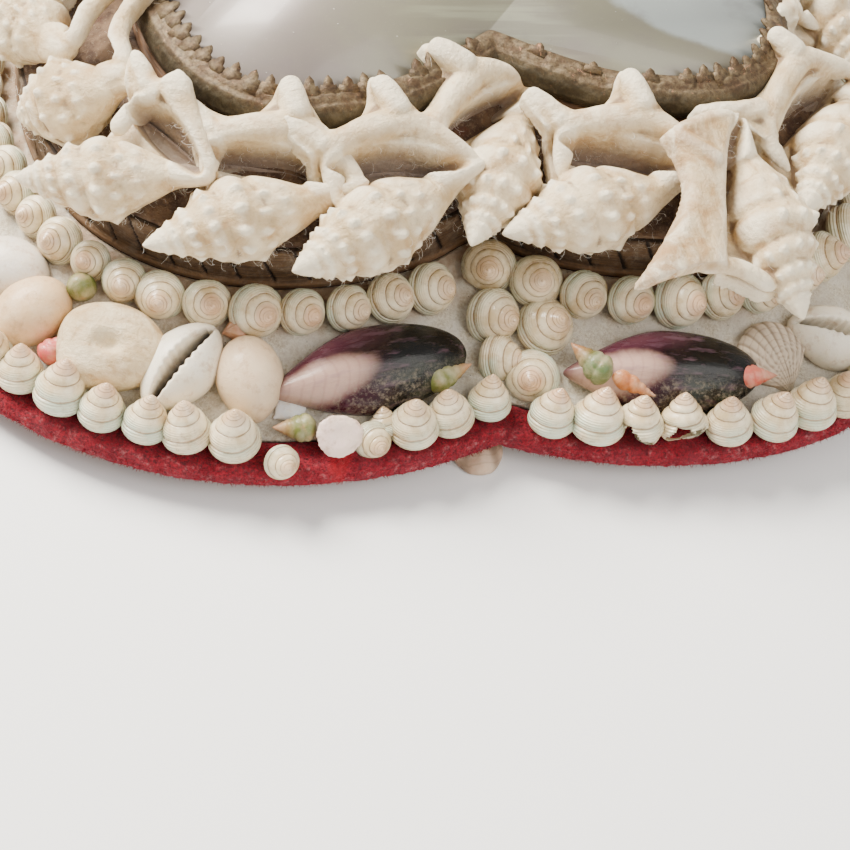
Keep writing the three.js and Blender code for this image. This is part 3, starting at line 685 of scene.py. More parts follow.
def cowrie_material():
    """Smooth shell in its own tint, lightly stained, with a dark slit."""
    shade = Shade("cowrie", roughness=0.3, Coat_Weight=0.25, Coat_Roughness=0.2, Subsurface_Weight=0.05)
    shade.out.inputs["Subsurface Radius"].default_value = (0.004, 0.002, 0.001)
    slit_shade, _, _ = shade.parts(shade.attribute("mark"))
    tint = shade.attribute("tone")
    cloud = shade.noise(4, 5, 0.6, distortion=0.5)
    fine = shade.noise(0.9, 6, 0.8)
    color = shade.mix(cloud.between(0.35, 0.7) * 0.4, tint, tone(234, 216, 184))
    color = shade.mix(shade.noise(2.6, 6, 0.7).between(0.5, 0.7) * 0.5, color, tone(172, 130, 88))
    color = shade.mix(fine.between(0.6, 0.74) * 0.4, color, tone(140, 112, 84))
    # Painted shade in the slit.
    color = shade.mix(slit_shade.clamped() * 0.95, color, tone(52, 34, 24))
    return shade.finish(color, cloud * 0.25 + fine * 0.25 + 0.12, fine + cloud * 0.8, 0.2)


def mussel_material():
    """Purple to black shell with a pale worn patch near its beak and dust along its low side."""
    shade = Shade("mussel", roughness=0.3, Coat_Weight=0.12, Coat_Roughness=0.16,
                  Specular_IOR_Level=0.22)
    x, y, z = shade.parts(shade.attribute("shell"))
    wobble = shade.noise(6, 4, 0.6)
    line = shade.noise(2, 5, 0.6, shade.stretched(x * 0.0004, y * 0.0016, z * 0.001))
    color = shade.mix((x + wobble * 12.0).between(-6.0, 11.0), tone(66, 24, 38), tone(14, 13, 12))
    color = shade.mix((y.between(2.2, 6.6) * x.between(9.0, -6.0)) * 0.7, color, tone(112, 66, 82))
    across = (y + wobble * 2.4 - 1.2 - x * 0.12) / 3.5
    patch = ((x + 8.6 + wobble * 2.0) / 8.6) ** 2.0 + across ** 2.0
    color = shade.mix(patch.between(1.7, 0.2) * 0.9, color, tone(192, 158, 142))
    growth = ((x * 0.5 + (y * y) * 0.04 + wobble * 1.2).fract() - 0.5).absolute() * 2.0
    color = shade.mix(growth.between(0.6, 1.0) * patch.between(1.9, 0.9) * 0.16, color, tone(112, 54, 66))
    color = shade.mix(line.between(0.52, 0.68) * 0.28, color, tone(130, 96, 112))
    green = (x.between(-2.0, 8.0) * wobble.between(0.45, 0.62)) * y.between(1.0, -4.0)
    color = shade.mix(green * 0.55, color, tone(52, 58, 44))
    dust = shade.noise(1.0, 6, 0.8).between(0.46, 0.7) * y.between(-0.5, -5.0)
    color = shade.mix(dust * 0.75, color, tone(146, 134, 116))
    return shade.finish(color, line * 0.25 + 0.14 + dust * 0.5, line + wobble * 0.5, 0.2)


def scallop_material():
    """Grey-beige ribbed shell, darker in the grooves and in rings of growth."""
    shade = Shade("scallop", roughness=0.65)
    x, y, _ = shade.parts(shade.attribute("shell"))
    cloud = shade.noise(2.2, 5, 0.6)
    fine = shade.noise(0.7, 6, 0.8)
    tint = shade.attribute("tone")
    groove, _, _ = shade.parts(shade.attribute("mark"))
    color = shade.mix(cloud.between(0.3, 0.7) * 0.5, tint, tone(222, 206, 184))
    ring = ((x ** 2.0 + y ** 2.0) ** 0.5 * 0.8 + cloud).fract()
    color = shade.mix(ring.between(0.7, 0.95) * 0.4, color, tone(160, 128, 102))
    # Painted shade in the grooves between the ribs.
    color = shade.mix(groove.clamped() * 0.7, color, tone(118, 96, 76))
    color = shade.mix(fine.between(0.58, 0.72) * 0.4, color, tone(150, 130, 106))
    return shade.finish(color, 0.65, fine + ring * 0.4, 0.3)


def bronze_material():
    """Tarnished brown metal with a few worn bright spots, darker low on its outer side."""
    shade = Shade("bronze", roughness=0.5, metallic=0.45)
    _, _, level = shade.parts(shade.attribute("section"))
    patina = shade.noise(2.6, 6, 0.7, distortion=0.5)
    speck = shade.noise(0.8, 6, 0.75)
    color = shade.mix(patina.between(0.35, 0.65), tone(80, 60, 40), tone(108, 92, 66))
    color = shade.mix(speck.between(0.42, 0.66) * 0.7, color, tone(52, 40, 30))
    worn = shade.noise(1.8, 5, 0.7, distortion=1.0).between(0.62, 0.69)
    color = shade.mix(worn * 0.75, color, tone(176, 128, 96))
    color = shade.mix(level.between(46.3, 44.4) * 0.7, color, tone(50, 46, 32))
    metal = 0.55 - patina.between(0.45, 0.7) * 0.35
    return shade.finish(color, speck * 0.35 + 0.38, patina * 0.8 + speck * 0.5, 0.3, metallic=metal)


def mirror_material():
    """Old mirror with a lilac haze, streaks in the middle and a paler part inside an arc."""
    shade = Shade("mirror_glass", roughness=0.3, metallic=0.1, Coat_Weight=0.2, Coat_Roughness=0.1)
    x, y, z = shade.parts(shade.coordinates)
    x, y = x * 1000.0, y * 1000.0
    cloud = shade.noise(34, 4, 0.55, distortion=0.4)
    haze = shade.noise(9, 5, 0.6)
    soft = shade.noise(18, 3, 0.5)
    # Painted reflection: lilac grey on the left turning greenish grey to the right, clouded with lilac.
    color = shade.mix((x + soft * 24.0).between(-24.0, 4.0), tone(128, 119, 112), tone(136, 132, 112))
    color = shade.mix(cloud.between(0.42, 0.62) * 0.5, color, tone(128, 114, 112))
    # Painted reflection: pale greenish streaks across the middle.
    streak = shade.noise(2.4, 3, 0.5, shade.stretched(x * 0.00008, y * 0.0009, z))
    band = (x.between(-16.0, -4.0) * x.between(24.0, 12.0)) * streak.between(0.45, 0.6)
    color = shade.mix(band * 0.35, color, tone(176, 178, 150))
    # Painted reflection: a pale bluish part inside an arc, brightest in its middle.
    arc = (((x - 64.0) / 40.0) ** 2.0 + ((y + 6.0) / 34.0) ** 2.0 + haze * 0.22 - 0.11) ** 0.5
    color = shade.mix(arc.between(1.0, 0.93) * 0.9, color, tone(178, 186, 184))
    color = shade.mix(arc.between(0.86, 0.3) * 0.5, color, tone(206, 213, 212))
    color = shade.mix(haze.between(0.5, 0.7) * 0.25, color, tone(116, 104, 108))
    speck = shade.cells(2.2).between(0.09, 0.03) * shade.noise(6, 2).between(0.5, 0.6)
    color = shade.mix(speck * 0.6, color, tone(228, 224, 212))
    dust = shade.noise(0.7, 6, 0.85).between(0.58, 0.72)
    color = shade.mix(dust * 0.3, color, tone(190, 186, 172))
    age = shade.noise(2.0, 6, 0.75).between(0.64, 0.74) * 0.3
    color = shade.mix(age, color, tone(116, 104, 94))
    return shade.finish(color, haze * 0.3 + 0.2 + dust * 0.3, speck, 0.1)


def lint_material():
    """Off-white dust fibres."""
    shade = Shade("lint", roughness=0.9)
    speck = shade.noise(3, 2).between(0.4, 0.6)
    color = shade.mix(speck, tone(214, 204, 188), tone(240, 236, 228))
    return shade.finish(color, 0.9)


# Shell shapes

def spiral_grid(profile, rows, around, growth, bulge, base_level):
    """A coiled shell with its tip at the profile's end, as a grid of points and their whorls."""
    profile = np.array(profile, float)
    lengths = lengths_along(profile)
    wanted = np.linspace(0, lengths[-1], rows)
    radius = np.interp(wanted, lengths, profile[:, 0])
    height = np.interp(wanted, lengths, profile[:, 1])
    for _ in range(2):
        radius[1:-1] = (radius[:-2] + 2 * radius[1:-1] + radius[2:]) / 4
        height[1:-1] = (height[:-2] + 2 * height[1:-1] + height[2:]) / 4
    top = profile[-1][1]
    down = np.maximum((top - height) / (top - base_level), 0.03)
    whorl = -np.log(down) / math.log(growth)
    theta = np.linspace(0, 2 * math.pi, around, endpoint=False)
    place = (whorl[:, None] - theta[None, :] / (2 * math.pi)) % 1
    fade = np.clip((height - profile[0][1]) / (base_level - profile[0][1] + 0.01), 0, 1)[:, None]
    swell = (np.sin(math.pi * place) ** 0.55 - 0.7) * bulge * (0.2 + 0.8 * fade)
    r = radius[:, None] * (1 + swell)
    points = np.stack([r * np.cos(theta), r * np.sin(theta), np.repeat(height[:, None], around, 1)], -1)
    mark = np.stack([
        np.repeat(whorl[:, None], around, 1),
        np.repeat(np.cos(theta)[None, :], rows, 0),
        np.repeat(np.sin(theta)[None, :], rows, 0),
    ], -1)
    return points, mark


def capped(points, marks):
    """A closed mesh from a grid whose first and last rows shrink to their middles."""
    rows, around = points.shape[:2]
    places = np.vstack([points.reshape(-1, 3), points[0].mean(0), points[-1].mean(0)])
    values = np.vstack([marks.reshape(-1, 3), marks[0].mean(0), marks[-1].mean(0)])
    faces = quads_between(rows, around)
    low, high = rows * around, rows * around + 1
    last = (rows - 1) * around
    for j in range(around):
        m = (j + 1) % around
        faces.append((m, j, low))
        faces.append((last + j, last + m, high))
    return places, outward_faces(places, faces), values


# Small top shell: radius and height from base to tip, growth by whorl and the height it grows from
TOP_PROFILE = [
    (0.2, 0), (2.6, 0.05), (4.0, 0.7), (4.5, 1.9), (4.35, 3.0), (3.7, 4.2), (2.9, 5.3), (2.0, 6.4),
    (1.1, 7.4), (0.45, 7.9), (0.08, 8.1),
]
TOP_GROWTH = 1.72
TOP_FROM = 1.9


def top_template(material):
    """A small top shell standing on its base."""
    points, marks = spiral_grid(TOP_PROFILE, 34, 28, TOP_GROWTH, 0.13, TOP_FROM)
    places, faces, values = capped(points, marks)
    return new_object("top_template", places, faces, material, {"whorl": values})


PELICAN_PROFILE = [
    (0.3, -21.5), (1.1, -20), (1.8, -16), (2.9, -12), (4.9, -7.5), (6.7, -3), (7.3, 0.5),
    (6.6, 4), (5.2, 7.2), (4.0, 10), (2.7, 13), (1.4, 15.6), (0.3, 17.4),
]
# Rows of nodules on the body whorl: place along the shell, height, number round it
NODULE_ROWS = [(-1.4, 1.25, 12), (2.8, 0.95, 12), (6.4, 0.55, 12)]
# Each lip: its thick arms as points x, y, z with a radius, the edge of its plate, the slot of the
# opening as two ends with a half width and a depth, and how warm its lip's colour is
PLAIN_LIP = {
    "arms": [
        [(21.4, 0.4, 2.6, 1.2), (19.6, 4.2, 2.8, 1.7), (17.2, 8.6, 3.2, 2.2), (13.6, 12, 3.6, 2.7),
         (9, 13.5, 3.8, 2.7), (4, 14.4, 3.4, 2.4), (0, 14.6, 3.0, 2.3), (-2.4, 10.8, 2.0, 1.9),
         (-4.2, 6, 1, 1.8)],
        [(13.2, 12.5, 3.6, 3.4), (13.7, 16, 4.3, 2.8), (14.0, 19, 4.5, 2.2), (14.1, 21.2, 4.5, 1.4)],
        [(-0.4, 14.5, 2.8, 2.6), (-2.2, 18, 3.0, 2.1), (-3.6, 21, 3.2, 1.6), (-4.6, 23, 3.4, 1.0)],
        [(11.5, 1.4, 0.6, 3.4), (16.5, 0.8, 1.5, 2.5), (22.2, 0.2, 2.6, 1.1)],
    ],
    "edge": [(-6, 4), (-4.4, 10), (-4.2, 15), (-5.4, 19), (-5.6, 22.4), (-3.6, 23), (-1.2, 20.4), (1.4, 17.8),
             (4.4, 16.9), (7.6, 17.0), (10.6, 18.6), (12.6, 21), (14.2, 22), (15.8, 20.4), (17, 15.5),
             (18.4, 10.5), (20.4, 5.5), (21.6, 1)],
    "slot": ((-0.4, 11.2), (16.6, 2.4), 2.2, 4.4),
    "warm": 0.0,
}
BENT_LIP = {
    "arms": [
        [(19.8, -0.6, 2.6, 1.8), (18.6, 3.2, 3.2, 1.8), (16.8, 7.6, 4.0, 2.0), (14.6, 12, 4.4, 2.4),
         (12.8, 15.8, 4.8, 3.0), (12.6, 18.6, 5.1, 2.3)],
        [(11, 15, 4.2, 2.6), (8, 16.5, 3.8, 2.1), (6.2, 20.5, 4.0, 1.7), (4.8, 24.0, 4.0, 1.0)],
        [(9, 15.5, 3.6, 2.0), (5.0, 12.6, 2.4, 1.8), (1, 8, 1.2, 1.8)],
        [(11.5, 0.8, 0.6, 3.6), (16.5, -0.2, 1.5, 2.7), (20.4, -0.6, 2.6, 1.7)],
    ],
    "edge": [(-4, 4), (0, 10), (3.2, 14.5), (3.2, 19), (3.8, 23.4), (6, 23.4), (8.2, 19.5), (10.4, 18.2),
             (12.6, 20), (14.8, 17.5), (16.8, 11.5), (18.6, 6.5), (20.4, 1)],
    "slot": ((5.6, 12.4), (16.6, 0.8), 2.9, 4.6),
    "warm": 0.0,
}
OPEN_LIP = {
    "arms": [
        [(-3, 13, 1.4, 2.6), (-5.2, 20, 1.7, 2.2), (-6.8, 26, 1.8, 1.6), (-8.2, 30.6, 1.6, 0.9)],
        [(11, 8, 2.2, 2.6), (14.6, 12, 2.8, 2.1), (17.4, 14.8, 3.0, 1.3)],
        [(20.4, 1.0, 2.6, 1.3), (20.0, 6, 2.8, 1.4), (18.4, 11, 2.9, 1.3), (17, 14.4, 3.0, 1.2)],
        [(-11.6, 4, 0.4, 1.6), (-8.4, 9, 1.0, 1.7), (-6.6, 14, 1.3, 1.6), (-6.4, 20, 1.6, 1.5)],
        [(11.5, 1.4, 0.6, 3.4), (16.5, 0.8, 1.5, 2.5), (21.0, 0.4, 2.4, 1.3)],
    ],
    "edge": [(-12, 4), (-8.6, 10.5), (-6.8, 17), (-7.2, 23), (-8.8, 29), (-8, 31), (-5, 27.6), (0.6, 21),
             (5.4, 17), (9.5, 15.2), (14, 15.0), (17.6, 15.2), (19.4, 9), (20.6, 2)],
    "slot": ((1.0, 8.8), (18.4, 0.6), 1.5, 3.0),
    "warm": 1.0,
}
LONG_LIP = {
    "arms": [
        [(19.4, 1.2, 2.6, 1.4), (17.2, 5.6, 3.2, 1.9), (14, 10.4, 4.0, 2.3), (10.6, 14, 4.4, 2.8),
         (5, 14.8, 4.0, 2.6), (-1, 15.2, 3.4, 2.5), (-6, 14.6, 2.8, 2.3), (-9.6, 11, 1.8, 2.0),
         (-11.6, 6, 0.8, 1.9)],
        [(10, 14.5, 4.4, 3.4), (10.6, 17.6, 5.0, 2.9), (10.8, 20.4, 5.2, 2.3), (10.8, 22.4, 5.2, 1.4)],
        [(-3, 15.2, 3.0, 2.7), (-7.4, 18.4, 3.2, 2.3), (-11.4, 22, 3.4, 1.8), (-15, 25.8, 3.4, 1.0)],
        [(11.5, 1.4, 0.6, 3.4), (16.5, 1.2, 1.5, 2.5), (21.0, 1.0, 2.6, 1.2)],
    ],
    "edge": [(-13, 4), (-12, 10), (-10.4, 14.8), (-12.4, 19.4), (-15.8, 25.4), (-14.2, 27), (-9.6, 23.6),
             (-4.6, 19.6), (-0.6, 18), (4, 17.8), (7.8, 19.8), (10.6, 23.2), (13.2, 20.5), (14.6, 14),
             (17, 8.6), (20, 2)],
    "slot": ((-6.0, 10.0), (13, 5.6), 2.3, 4.4),
    "warm": 0.0,
}
ARM_LIP = {
    "arms": [
        [(17.6, 1.6, 2.0, 2.1), (15.6, 5.0, 3.4, 2.1), (12.6, 9.0, 4.6, 2.2), (11.0, 14.0, 5.4, 2.3),
         (12.4, 19.0, 5.8, 2.6), (15.5, 22.6, 5.6, 2.4), (18.2, 25.2, 5.0, 1.3)],
        [(9, 1.4, 0.4, 4.2), (14, 1.4, 1.2, 3.2), (18.6, 1.8, 1.8, 1.9)],
    ],
    "edge": None,
    "slot": ((4, 9), (14, 4.4), 1.4, 2.0),
    "warm": 0.0,
}

LIPS = {"plain": PLAIN_LIP, "bent": BENT_LIP, "open": OPEN_LIP, "long": LONG_LIP, "arm": ARM_LIP}

# Arms: rings along and points round each, flatness of their section, and how far their heights count
HORN_RINGS, HORN_AROUND, HORN_FLAT, HORN_HEIGHT = 26, 16, 0.85, 0.84
# Lip plate: points along its edge and across it, and its thickness
PLATE_COLUMNS, PLATE_ROWS, PLATE_THICK = 90, 20, 3.0
# Skin over a whole shell: size of its voxels, and triangles kept of it
SKIN_VOXEL, SKIN_FACES = 0.3, 15000
SMOOTHING_TURNS = 6


def smooth_line(points, count):
    """Points along a rounded curve through the given ones, with any further numbers they carry."""
    points = np.array(points, float)
    ends = np.vstack([2 * points[0] - points[1], points, 2 * points[-1] - points[-2]])
    t = np.linspace(0, len(points) - 1 - 1e-6, count)
    i = t.astype(int)
    f = (t - i)[:, None]
    a, b, c, d = ends[i], ends[i + 1], ends[i + 2], ends[i + 3]
    return 0.5 * (2 * b + (c - a) * f + (2 * a - 5 * b + 4 * c - d) * f ** 2
                  + (3 * b - a - 3 * c + d) * f ** 3)


def horn(points):
    """A rounded arm through points that each carry a radius, closed at both ends."""
    line = smooth_line(points, HORN_RINGS)
    centre, radius = line[:, :3] * np.array([1, 1, HORN_HEIGHT]), np.maximum(line[:, 3], 0.4)
    ahead = np.gradient(centre, axis=0)
    ahead /= np.linalg.norm(ahead, axis=1)[:, None]
    side = np.cross(ahead, [0, 0, 1.0])
    side /= np.linalg.norm(side, axis=1)[:, None]
    up = np.cross(side, ahead)
    cap = np.sqrt(np.clip(1 - np.linspace(1, 0, 5)[:-1] ** 2, 0.06, 1))
    reach = np.concatenate([cap, np.ones(HORN_RINGS - 2 * len(cap)), cap[::-1]]) * radius
    angle = np.linspace(0, 2 * math.pi, HORN_AROUND, endpoint=False)[None, :, None]
    ring = side[:, None] * np.cos(angle) + HORN_FLAT * up[:, None] * np.sin(angle)
    grid = centre[:, None] + ring * reach[:, None, None]
    places, faces, _ = capped(grid, grid)
    return places, faces


def slot_distance(lip, x, y):
    """How far points lie along the opening's slot, 0 to 1 from end to end, and how far outside it."""
    (ax, ay), (bx, by), _, _ = lip["slot"]
    length = math.hypot(bx - ax, by - ay)
    ux, uy = (bx - ax) / length, (by - ay) / length
    along = ((x - ax) * ux + (y - ay) * uy) / length
    bow = 0.9 * np.clip(1 - (2 * along - 1) ** 2, 0, 1)
    return along, (x - ax) * -uy + (y - ay) * ux - bow


def lip_plate(lip):
    """The wall of the flared lip, from beside the body out to its fingered edge."""
    columns, rows = PLATE_COLUMNS, PLATE_ROWS
    outer = smooth_line(lip["edge"], columns)
    t = np.linspace(0, 1, columns)
    inner = np.column_stack([outer[0][0] + (outer[-1][0] - 2 - outer[0][0]) * t, 1.5 + 0 * t])
    s = np.linspace(0, 1, rows)
    xy = inner[:, None] + (outer - inner)[:, None] * s[None, :, None]
    _, beyond = slot_distance(lip, xy[..., 0], xy[..., 1])
    ramp = np.clip((beyond + 1.0) / 3.4, 0, 1)
    top = -1.6 + 4.8 * ramp * ramp * (3 - 2 * ramp)
    top = top - 0.9 * np.clip((s[None, :] - 0.86) / 0.14, 0, 1) ** 2
    upper, lower = np.dstack([xy, top]), np.dstack([xy, top - PLATE_THICK])
    places = np.vstack([upper.reshape(-1, 3), lower.reshape(-1, 3)])
    shift = columns * rows
    faces = []
    for i in range(columns - 1):
        for j in range(rows - 1):
            a, b = i * rows + j, (i + 1) * rows + j
            faces += [(a, b, b + 1, a + 1), (a + shift, a + 1 + shift, b + 1 + shift, b + shift)]
        a, b = i * rows, (i + 1) * rows
        c, d = a + rows - 1, b + rows - 1
        faces += [(a, a + shift, b + shift, b), (c, d, d + shift, c + shift)]
    last = (columns - 1) * rows
    for j in range(rows - 1):
        a = last + j
        faces += [(j, j + 1, j + 1 + shift, j + shift), (a + 1, a, a + shift, a + 1 + shift)]
    return places, outward_faces(places, faces)


def pelican_body():
    """The coiled body of a pelican's foot shell, its tip towards -X, with rows of nodules."""
    points, marks = spiral_grid(PELICAN_PROFILE, 120, 84, 1.5, 0.16, -3.0)
    places, faces, values = capped(points, marks)
    body = np.column_stack([-places[:, 2], places[:, 1], places[:, 0]])
    across = np.hypot(body[:, 1], body[:, 2]) + 1e-6
    round_it = np.arctan2(body[:, 2], body[:, 1])
    rough_side = np.clip((5.2 - body[:, 1]) / 2.5, 0, 1)
    swell = np.zeros(len(body))
    for x, height, count in NODULE_ROWS:
        row = x + 0.9 * round_it / math.pi
        dots = np.clip(np.cos(count * round_it + x), 0, 1) ** 1.8
        swell += height * rough_side * (0.12 + 1.0 * dots) * np.exp(-((body[:, 0] - row) / 1.05) ** 2)
    place = (values[:, 0] - np.arctan2(values[:, 2], values[:, 1]) / (2 * math.pi)) % 1
    beads = np.clip(np.cos(13 * round_it), 0, 1) ** 1.3 * np.exp(-((place - 0.45) / 0.2) ** 2)
    on_spire = np.clip((-4.5 - body[:, 0]) / 2, 0, 1) * np.clip(across / 1.2, 0, 1)
    swell += on_spire * 0.2 * across * (0.15 + 1.0 * beads)
    body[:, 1:] *= (1 + swell / across)[:, None]
    return body, faces


def hollowness(made):
    """How far each vertex sits in a hollow, from -1 on a ridge to 1 in a crease."""
    mesh = made.data
    count = len(mesh.vertices)
    co, normals = np.zeros(count * 3, np.float32), np.zeros(count * 3, np.float32)
    edges = np.zeros(len(mesh.edges) * 2, np.int32)
    mesh.vertices.foreach_get("co", co)
    mesh.vertices.foreach_get("normal", normals)
    mesh.edges.foreach_get("vertices", edges)
    co, normals, edges = co.reshape(-1, 3) / MM, normals.reshape(-1, 3), edges.reshape(-1, 2)
    a, b = edges[:, 0], edges[:, 1]
    step = co[b] - co[a]
    far = np.linalg.norm(step, axis=1) + 1e-9
    bend_a = np.sum(normals[a] * step, axis=1) / far
    bend_b = -np.sum(normals[b] * step, axis=1) / far
    shared_by = np.bincount(edges.ravel(), minlength=count) + 1e-9
    value = (np.bincount(a, bend_a, count) + np.bincount(b, bend_b, count)) / shared_by
    for _ in range(SMOOTHING_TURNS):
        around = (np.bincount(a, value[b], count) + np.bincount(b, value[a], count)) / shared_by
        value = 0.4 * value + 0.6 * around
    return np.clip(value / 0.12, -1, 1)


def pelican_template(name, lip, material):
    """A pelican's foot shell as one skin, in its own frame with +X its canal and +Y its flared lip."""
    parts = [pelican_body()] + [horn(points) for points in lip["arms"]]
    if lip["edge"]:
        parts.append(lip_plate(lip))
    places, faces = [], []
    for part_places, part_faces in parts:
        start = sum(len(p) for p in places)
        places.append(part_places)
        faces += [tuple(start + v for v in face) for face in part_faces]
    made = new_object(name, np.vstack(places), faces, material)
    remesh = made.modifiers.new("skin", "REMESH")
    remesh.mode = "VOXEL"
    remesh.voxel_size = SKIN_VOXEL * MM
    soften = made.modifiers.new("soften", "SMOOTH")
    soften.iterations = 5
    soften.factor = 0.5
    keep_plain(made)
    _, _, width, depth = lip["slot"]
    local = coordinates_of(made)
    x, y, z = local.T
    along, beyond = slot_distance(lip, x, y)
    lens = ((along - 0.5) / 0.58) ** 2 + (beyond / width) ** 2
    inside = np.clip((1.3 - lens) / 0.75, 0, 1)
    local[:, 2] -= depth * inside * np.clip((z + 3.2) / 2.2, 0, 1)
    fold = grains(local * [0.35, 1.0, 1.0], 1.5, 5.0) * np.clip((y - 12) / 4, 0, 1)
    local[:, 2] += 0.28 * fold
    move_vertices(made, local)
    thin = made.modifiers.new("thin", "DECIMATE")
    thin.ratio = min(1.0, SKIN_FACES / max(1, 2 * len(made.data.polygons)))
    keep_plain(made)
    made.data.shade_smooth()
    local = coordinates_of(made)
    x, y, z = local.T
    along, beyond = slot_distance(lip, x, y)
    lens = ((along - 0.5) / 0.56) ** 2 + (beyond / width) ** 2
    hollow = np.clip((1.45 - lens) / 0.9, 0, 1) * np.clip((1.9 - z) / 3.0, 0, 1) * (z > -5)
    side = lip["warm"] * np.clip((beyond - 2) / 9, 0, 1)
    # Marks: the lip's warm colour, the mouth's hollow where shade is painted, and the creases and ridges that
    # get painted shade and highlight.
    marks = np.column_stack([side, hollow, hollowness(made)])
    for key, values in (("shell", local), ("mark", marks)):
        layer = made.data.attributes.new(key, "FLOAT_VECTOR", "POINT")
        layer.data.foreach_set("vector", values.astype(np.float32).ravel())
    return made


def copied(template, name, matrix, wobble=0.0, seed=0.0):
    """A copy of a template with its vertices moved by a matrix given in millimetres."""
    local = coordinates_of(template)
    if wobble:
        bend = np.column_stack([grains(local, 14, seed + k * 7.3) for k in range(3)])
        local = local + bend * wobble
    moved = local @ np.array(matrix.to_3x3()).T + np.array(matrix.translation)
    made = bpy.data.objects.new(name, template.data.copy())
    made.data.name = name
    bpy.context.scene.collection.objects.link(made)
    move_vertices(made, moved)
    return made


def laid(template, matrix, name=None):
    """A copy of a template moved by a matrix in millimetres, in place of the template."""
    made = copied(template, name or template.name, matrix)
    drop(template)
    return made


def dome_grid(length, width, height, rows, around, shape):
    """A domed shell on a shallow base, as a grid from its base's middle to its top."""
    under = 0.3
    theta = np.linspace(0, 2 * math.pi, around, endpoint=False)
    low = int(rows * 0.3)
    level = np.concatenate([np.zeros(low), np.linspace(0, 1, rows - low)])
    reach = np.concatenate([np.linspace(0.02, 1, low, endpoint=False), np.ones(rows - low)])
    phi = np.concatenate([np.full(low, -under), np.linspace(-under, math.pi / 2 - 0.03, rows - low)])
    ring = np.cos(phi) * reach / math.cos(under)
    up = np.where(level + reach < 1.0, 0, np.sin(phi) + math.sin(under)) / (1 + math.sin(under))
    up[:low] = 0
    x = ring[:, None] * np.cos(theta)[None, :]
    y = ring[:, None] * np.sin(theta)[None, :]
    z = np.repeat(up[:, None], around, 1)
    if shape:
        x, y, z = shape(x, y, z)
    return np.stack([x * length / 2, y * width / 2, z * height], -1)


def tapered(amount, power=1.5, keel=0.0):
    """A dome that narrows towards one end, with a keel along its back if asked."""
    def shape(x, y, z):
        slim = 1 - amount * np.maximum(0, -x) ** power
        lifted = z * (1 - 0.35 * amount * np.maximum(0, -x) ** 2) * (1 + keel * np.exp(-(y / 0.35) ** 2) * z)
        return x, y * slim, lifted
    return shape


def ribbed(count, depth):
    """A fan with ribs spreading from its hinge."""
    def shape(x, y, z):
        angle = np.arctan2(y, x + 1.05)
        far = np.hypot(x + 1.05, y) / 2
        rib = np.cos(angle * count) * depth * np.clip(far * 1.6, 0, 1)
        flare = np.clip((x + 1) / 0.9, 0.12, 1) ** 0.6
        return x, y * flare, z * (0.75 + 0.25 * far) + rib * (z > 0.02)
    return shape


FAN_LENGTH = 13.8


def rib_marks(count):
    """Marks the grooves between a scallop's ribs."""
    def mark(places):
        angle = np.arctan2(places[:, 1], places[:, 0] + 1.05 * FAN_LENGTH / 2)
        groove = np.clip(-np.cos(angle * count), 0, 1) ** 1.5 * (places[:, 2] > 0.2)
        return np.column_stack([groove, groove, groove])
    return mark


def dimpled(x, y, z):
    """A lopsided dome with a sunken whirl."""
    whirl = 0.42 * np.exp(-((x - 0.2) ** 2 + (y + 0.02) ** 2) / 0.05)
    ridge = 0.045 * np.cos(7 * np.hypot(x - 0.2, y + 0.02))
    bulge = 1 + 0.2 * np.cos(np.arctan2(y, x) - 0.5)
    return x * bulge, y * (1 + 0.08 * np.sin(2 * np.arctan2(y, x))), z - whirl + ridge * (z > 0.05)


def broken_disc(x, y, z):
    """A thin round scrap of shell with a chipped edge."""
    angle = np.arctan2(y, x)
    chip = 1 + 0.04 * np.sin(angle * 3 + 1) + 0.015 * np.sin(angle * 11) + 0.01 * np.sin(angle * 29)
    return x * chip, y * chip, z - 0.35 * np.exp(-(x ** 2 + y ** 2) / 0.3) * (z > 0.3)


def slit_shape(x, y, z):
    """The open side of a cowrie, with a toothed slit along it."""
    off = y - 0.06 + 0.16 * x ** 2
    tooth = 0.035 * np.cos(x * 34)
    width = 0.17 * np.sqrt(np.clip(1 - (x / 0.93) ** 2, 0, 1)) + tooth * np.clip(1 - np.abs(x), 0, 1)
    deep = 1 / (1 + np.exp((np.abs(off) - width) / 0.028))
    taper = 1 - 0.28 * np.maximum(0, -x) ** 1.6 - 0.18 * np.maximum(0, x) ** 2
    return x, y * taper, z - 0.85 * deep * np.clip(z, 0, 1)


def dome_shell(name, material, length, width, height, shape, color=(1, 1, 1), mark=None, rows=30, around=64):
    """A domed shell with its own place, tint and marks as attributes."""
    grid = dome_grid(length, width, height, rows, around, shape)
    places, faces, _ = capped(grid, grid)
    tint = np.tile(np.array(color[:3], float), (len(places), 1))
    marks = mark(places) if mark else np.zeros_like(places)
    return new_object(name, places, faces, material, {"shell": places, "tone": tint, "mark": marks})


def coiled_shell(name, material, length, radius, color, tip_color, bulge=0.16):
    """A small spiral shell lying along X, its tip towards +X."""
    k, m = radius, length
    profile = [(0.05 * k, 0), (0.55 * k, 0.03 * m), (0.9 * k, 0.14 * m), (k, 0.3 * m), (0.88 * k, 0.45 * m),
               (0.62 * k, 0.62 * m), (0.38 * k, 0.78 * m), (0.16 * k, 0.92 * m), (0.02 * k, m)]
    points, marks = spiral_grid(profile, 40, 24, 1.5, bulge, 0.2 * m)
    places, faces, values = capped(points, marks)
    moved = np.column_stack([places[:, 2] - m / 2, places[:, 1], -places[:, 0]])
    fade = np.clip((moved[:, 0] / m) * 2.2, 0, 1)[:, None]
    tint = np.array(color[:3])[None, :] * (1 - fade) + np.array(tip_color[:3])[None, :] * fade
    return new_object(name, moved, faces, material, {
        "whorl": values, "tone": tint, "shell": moved, "mark": np.zeros_like(moved),
    })


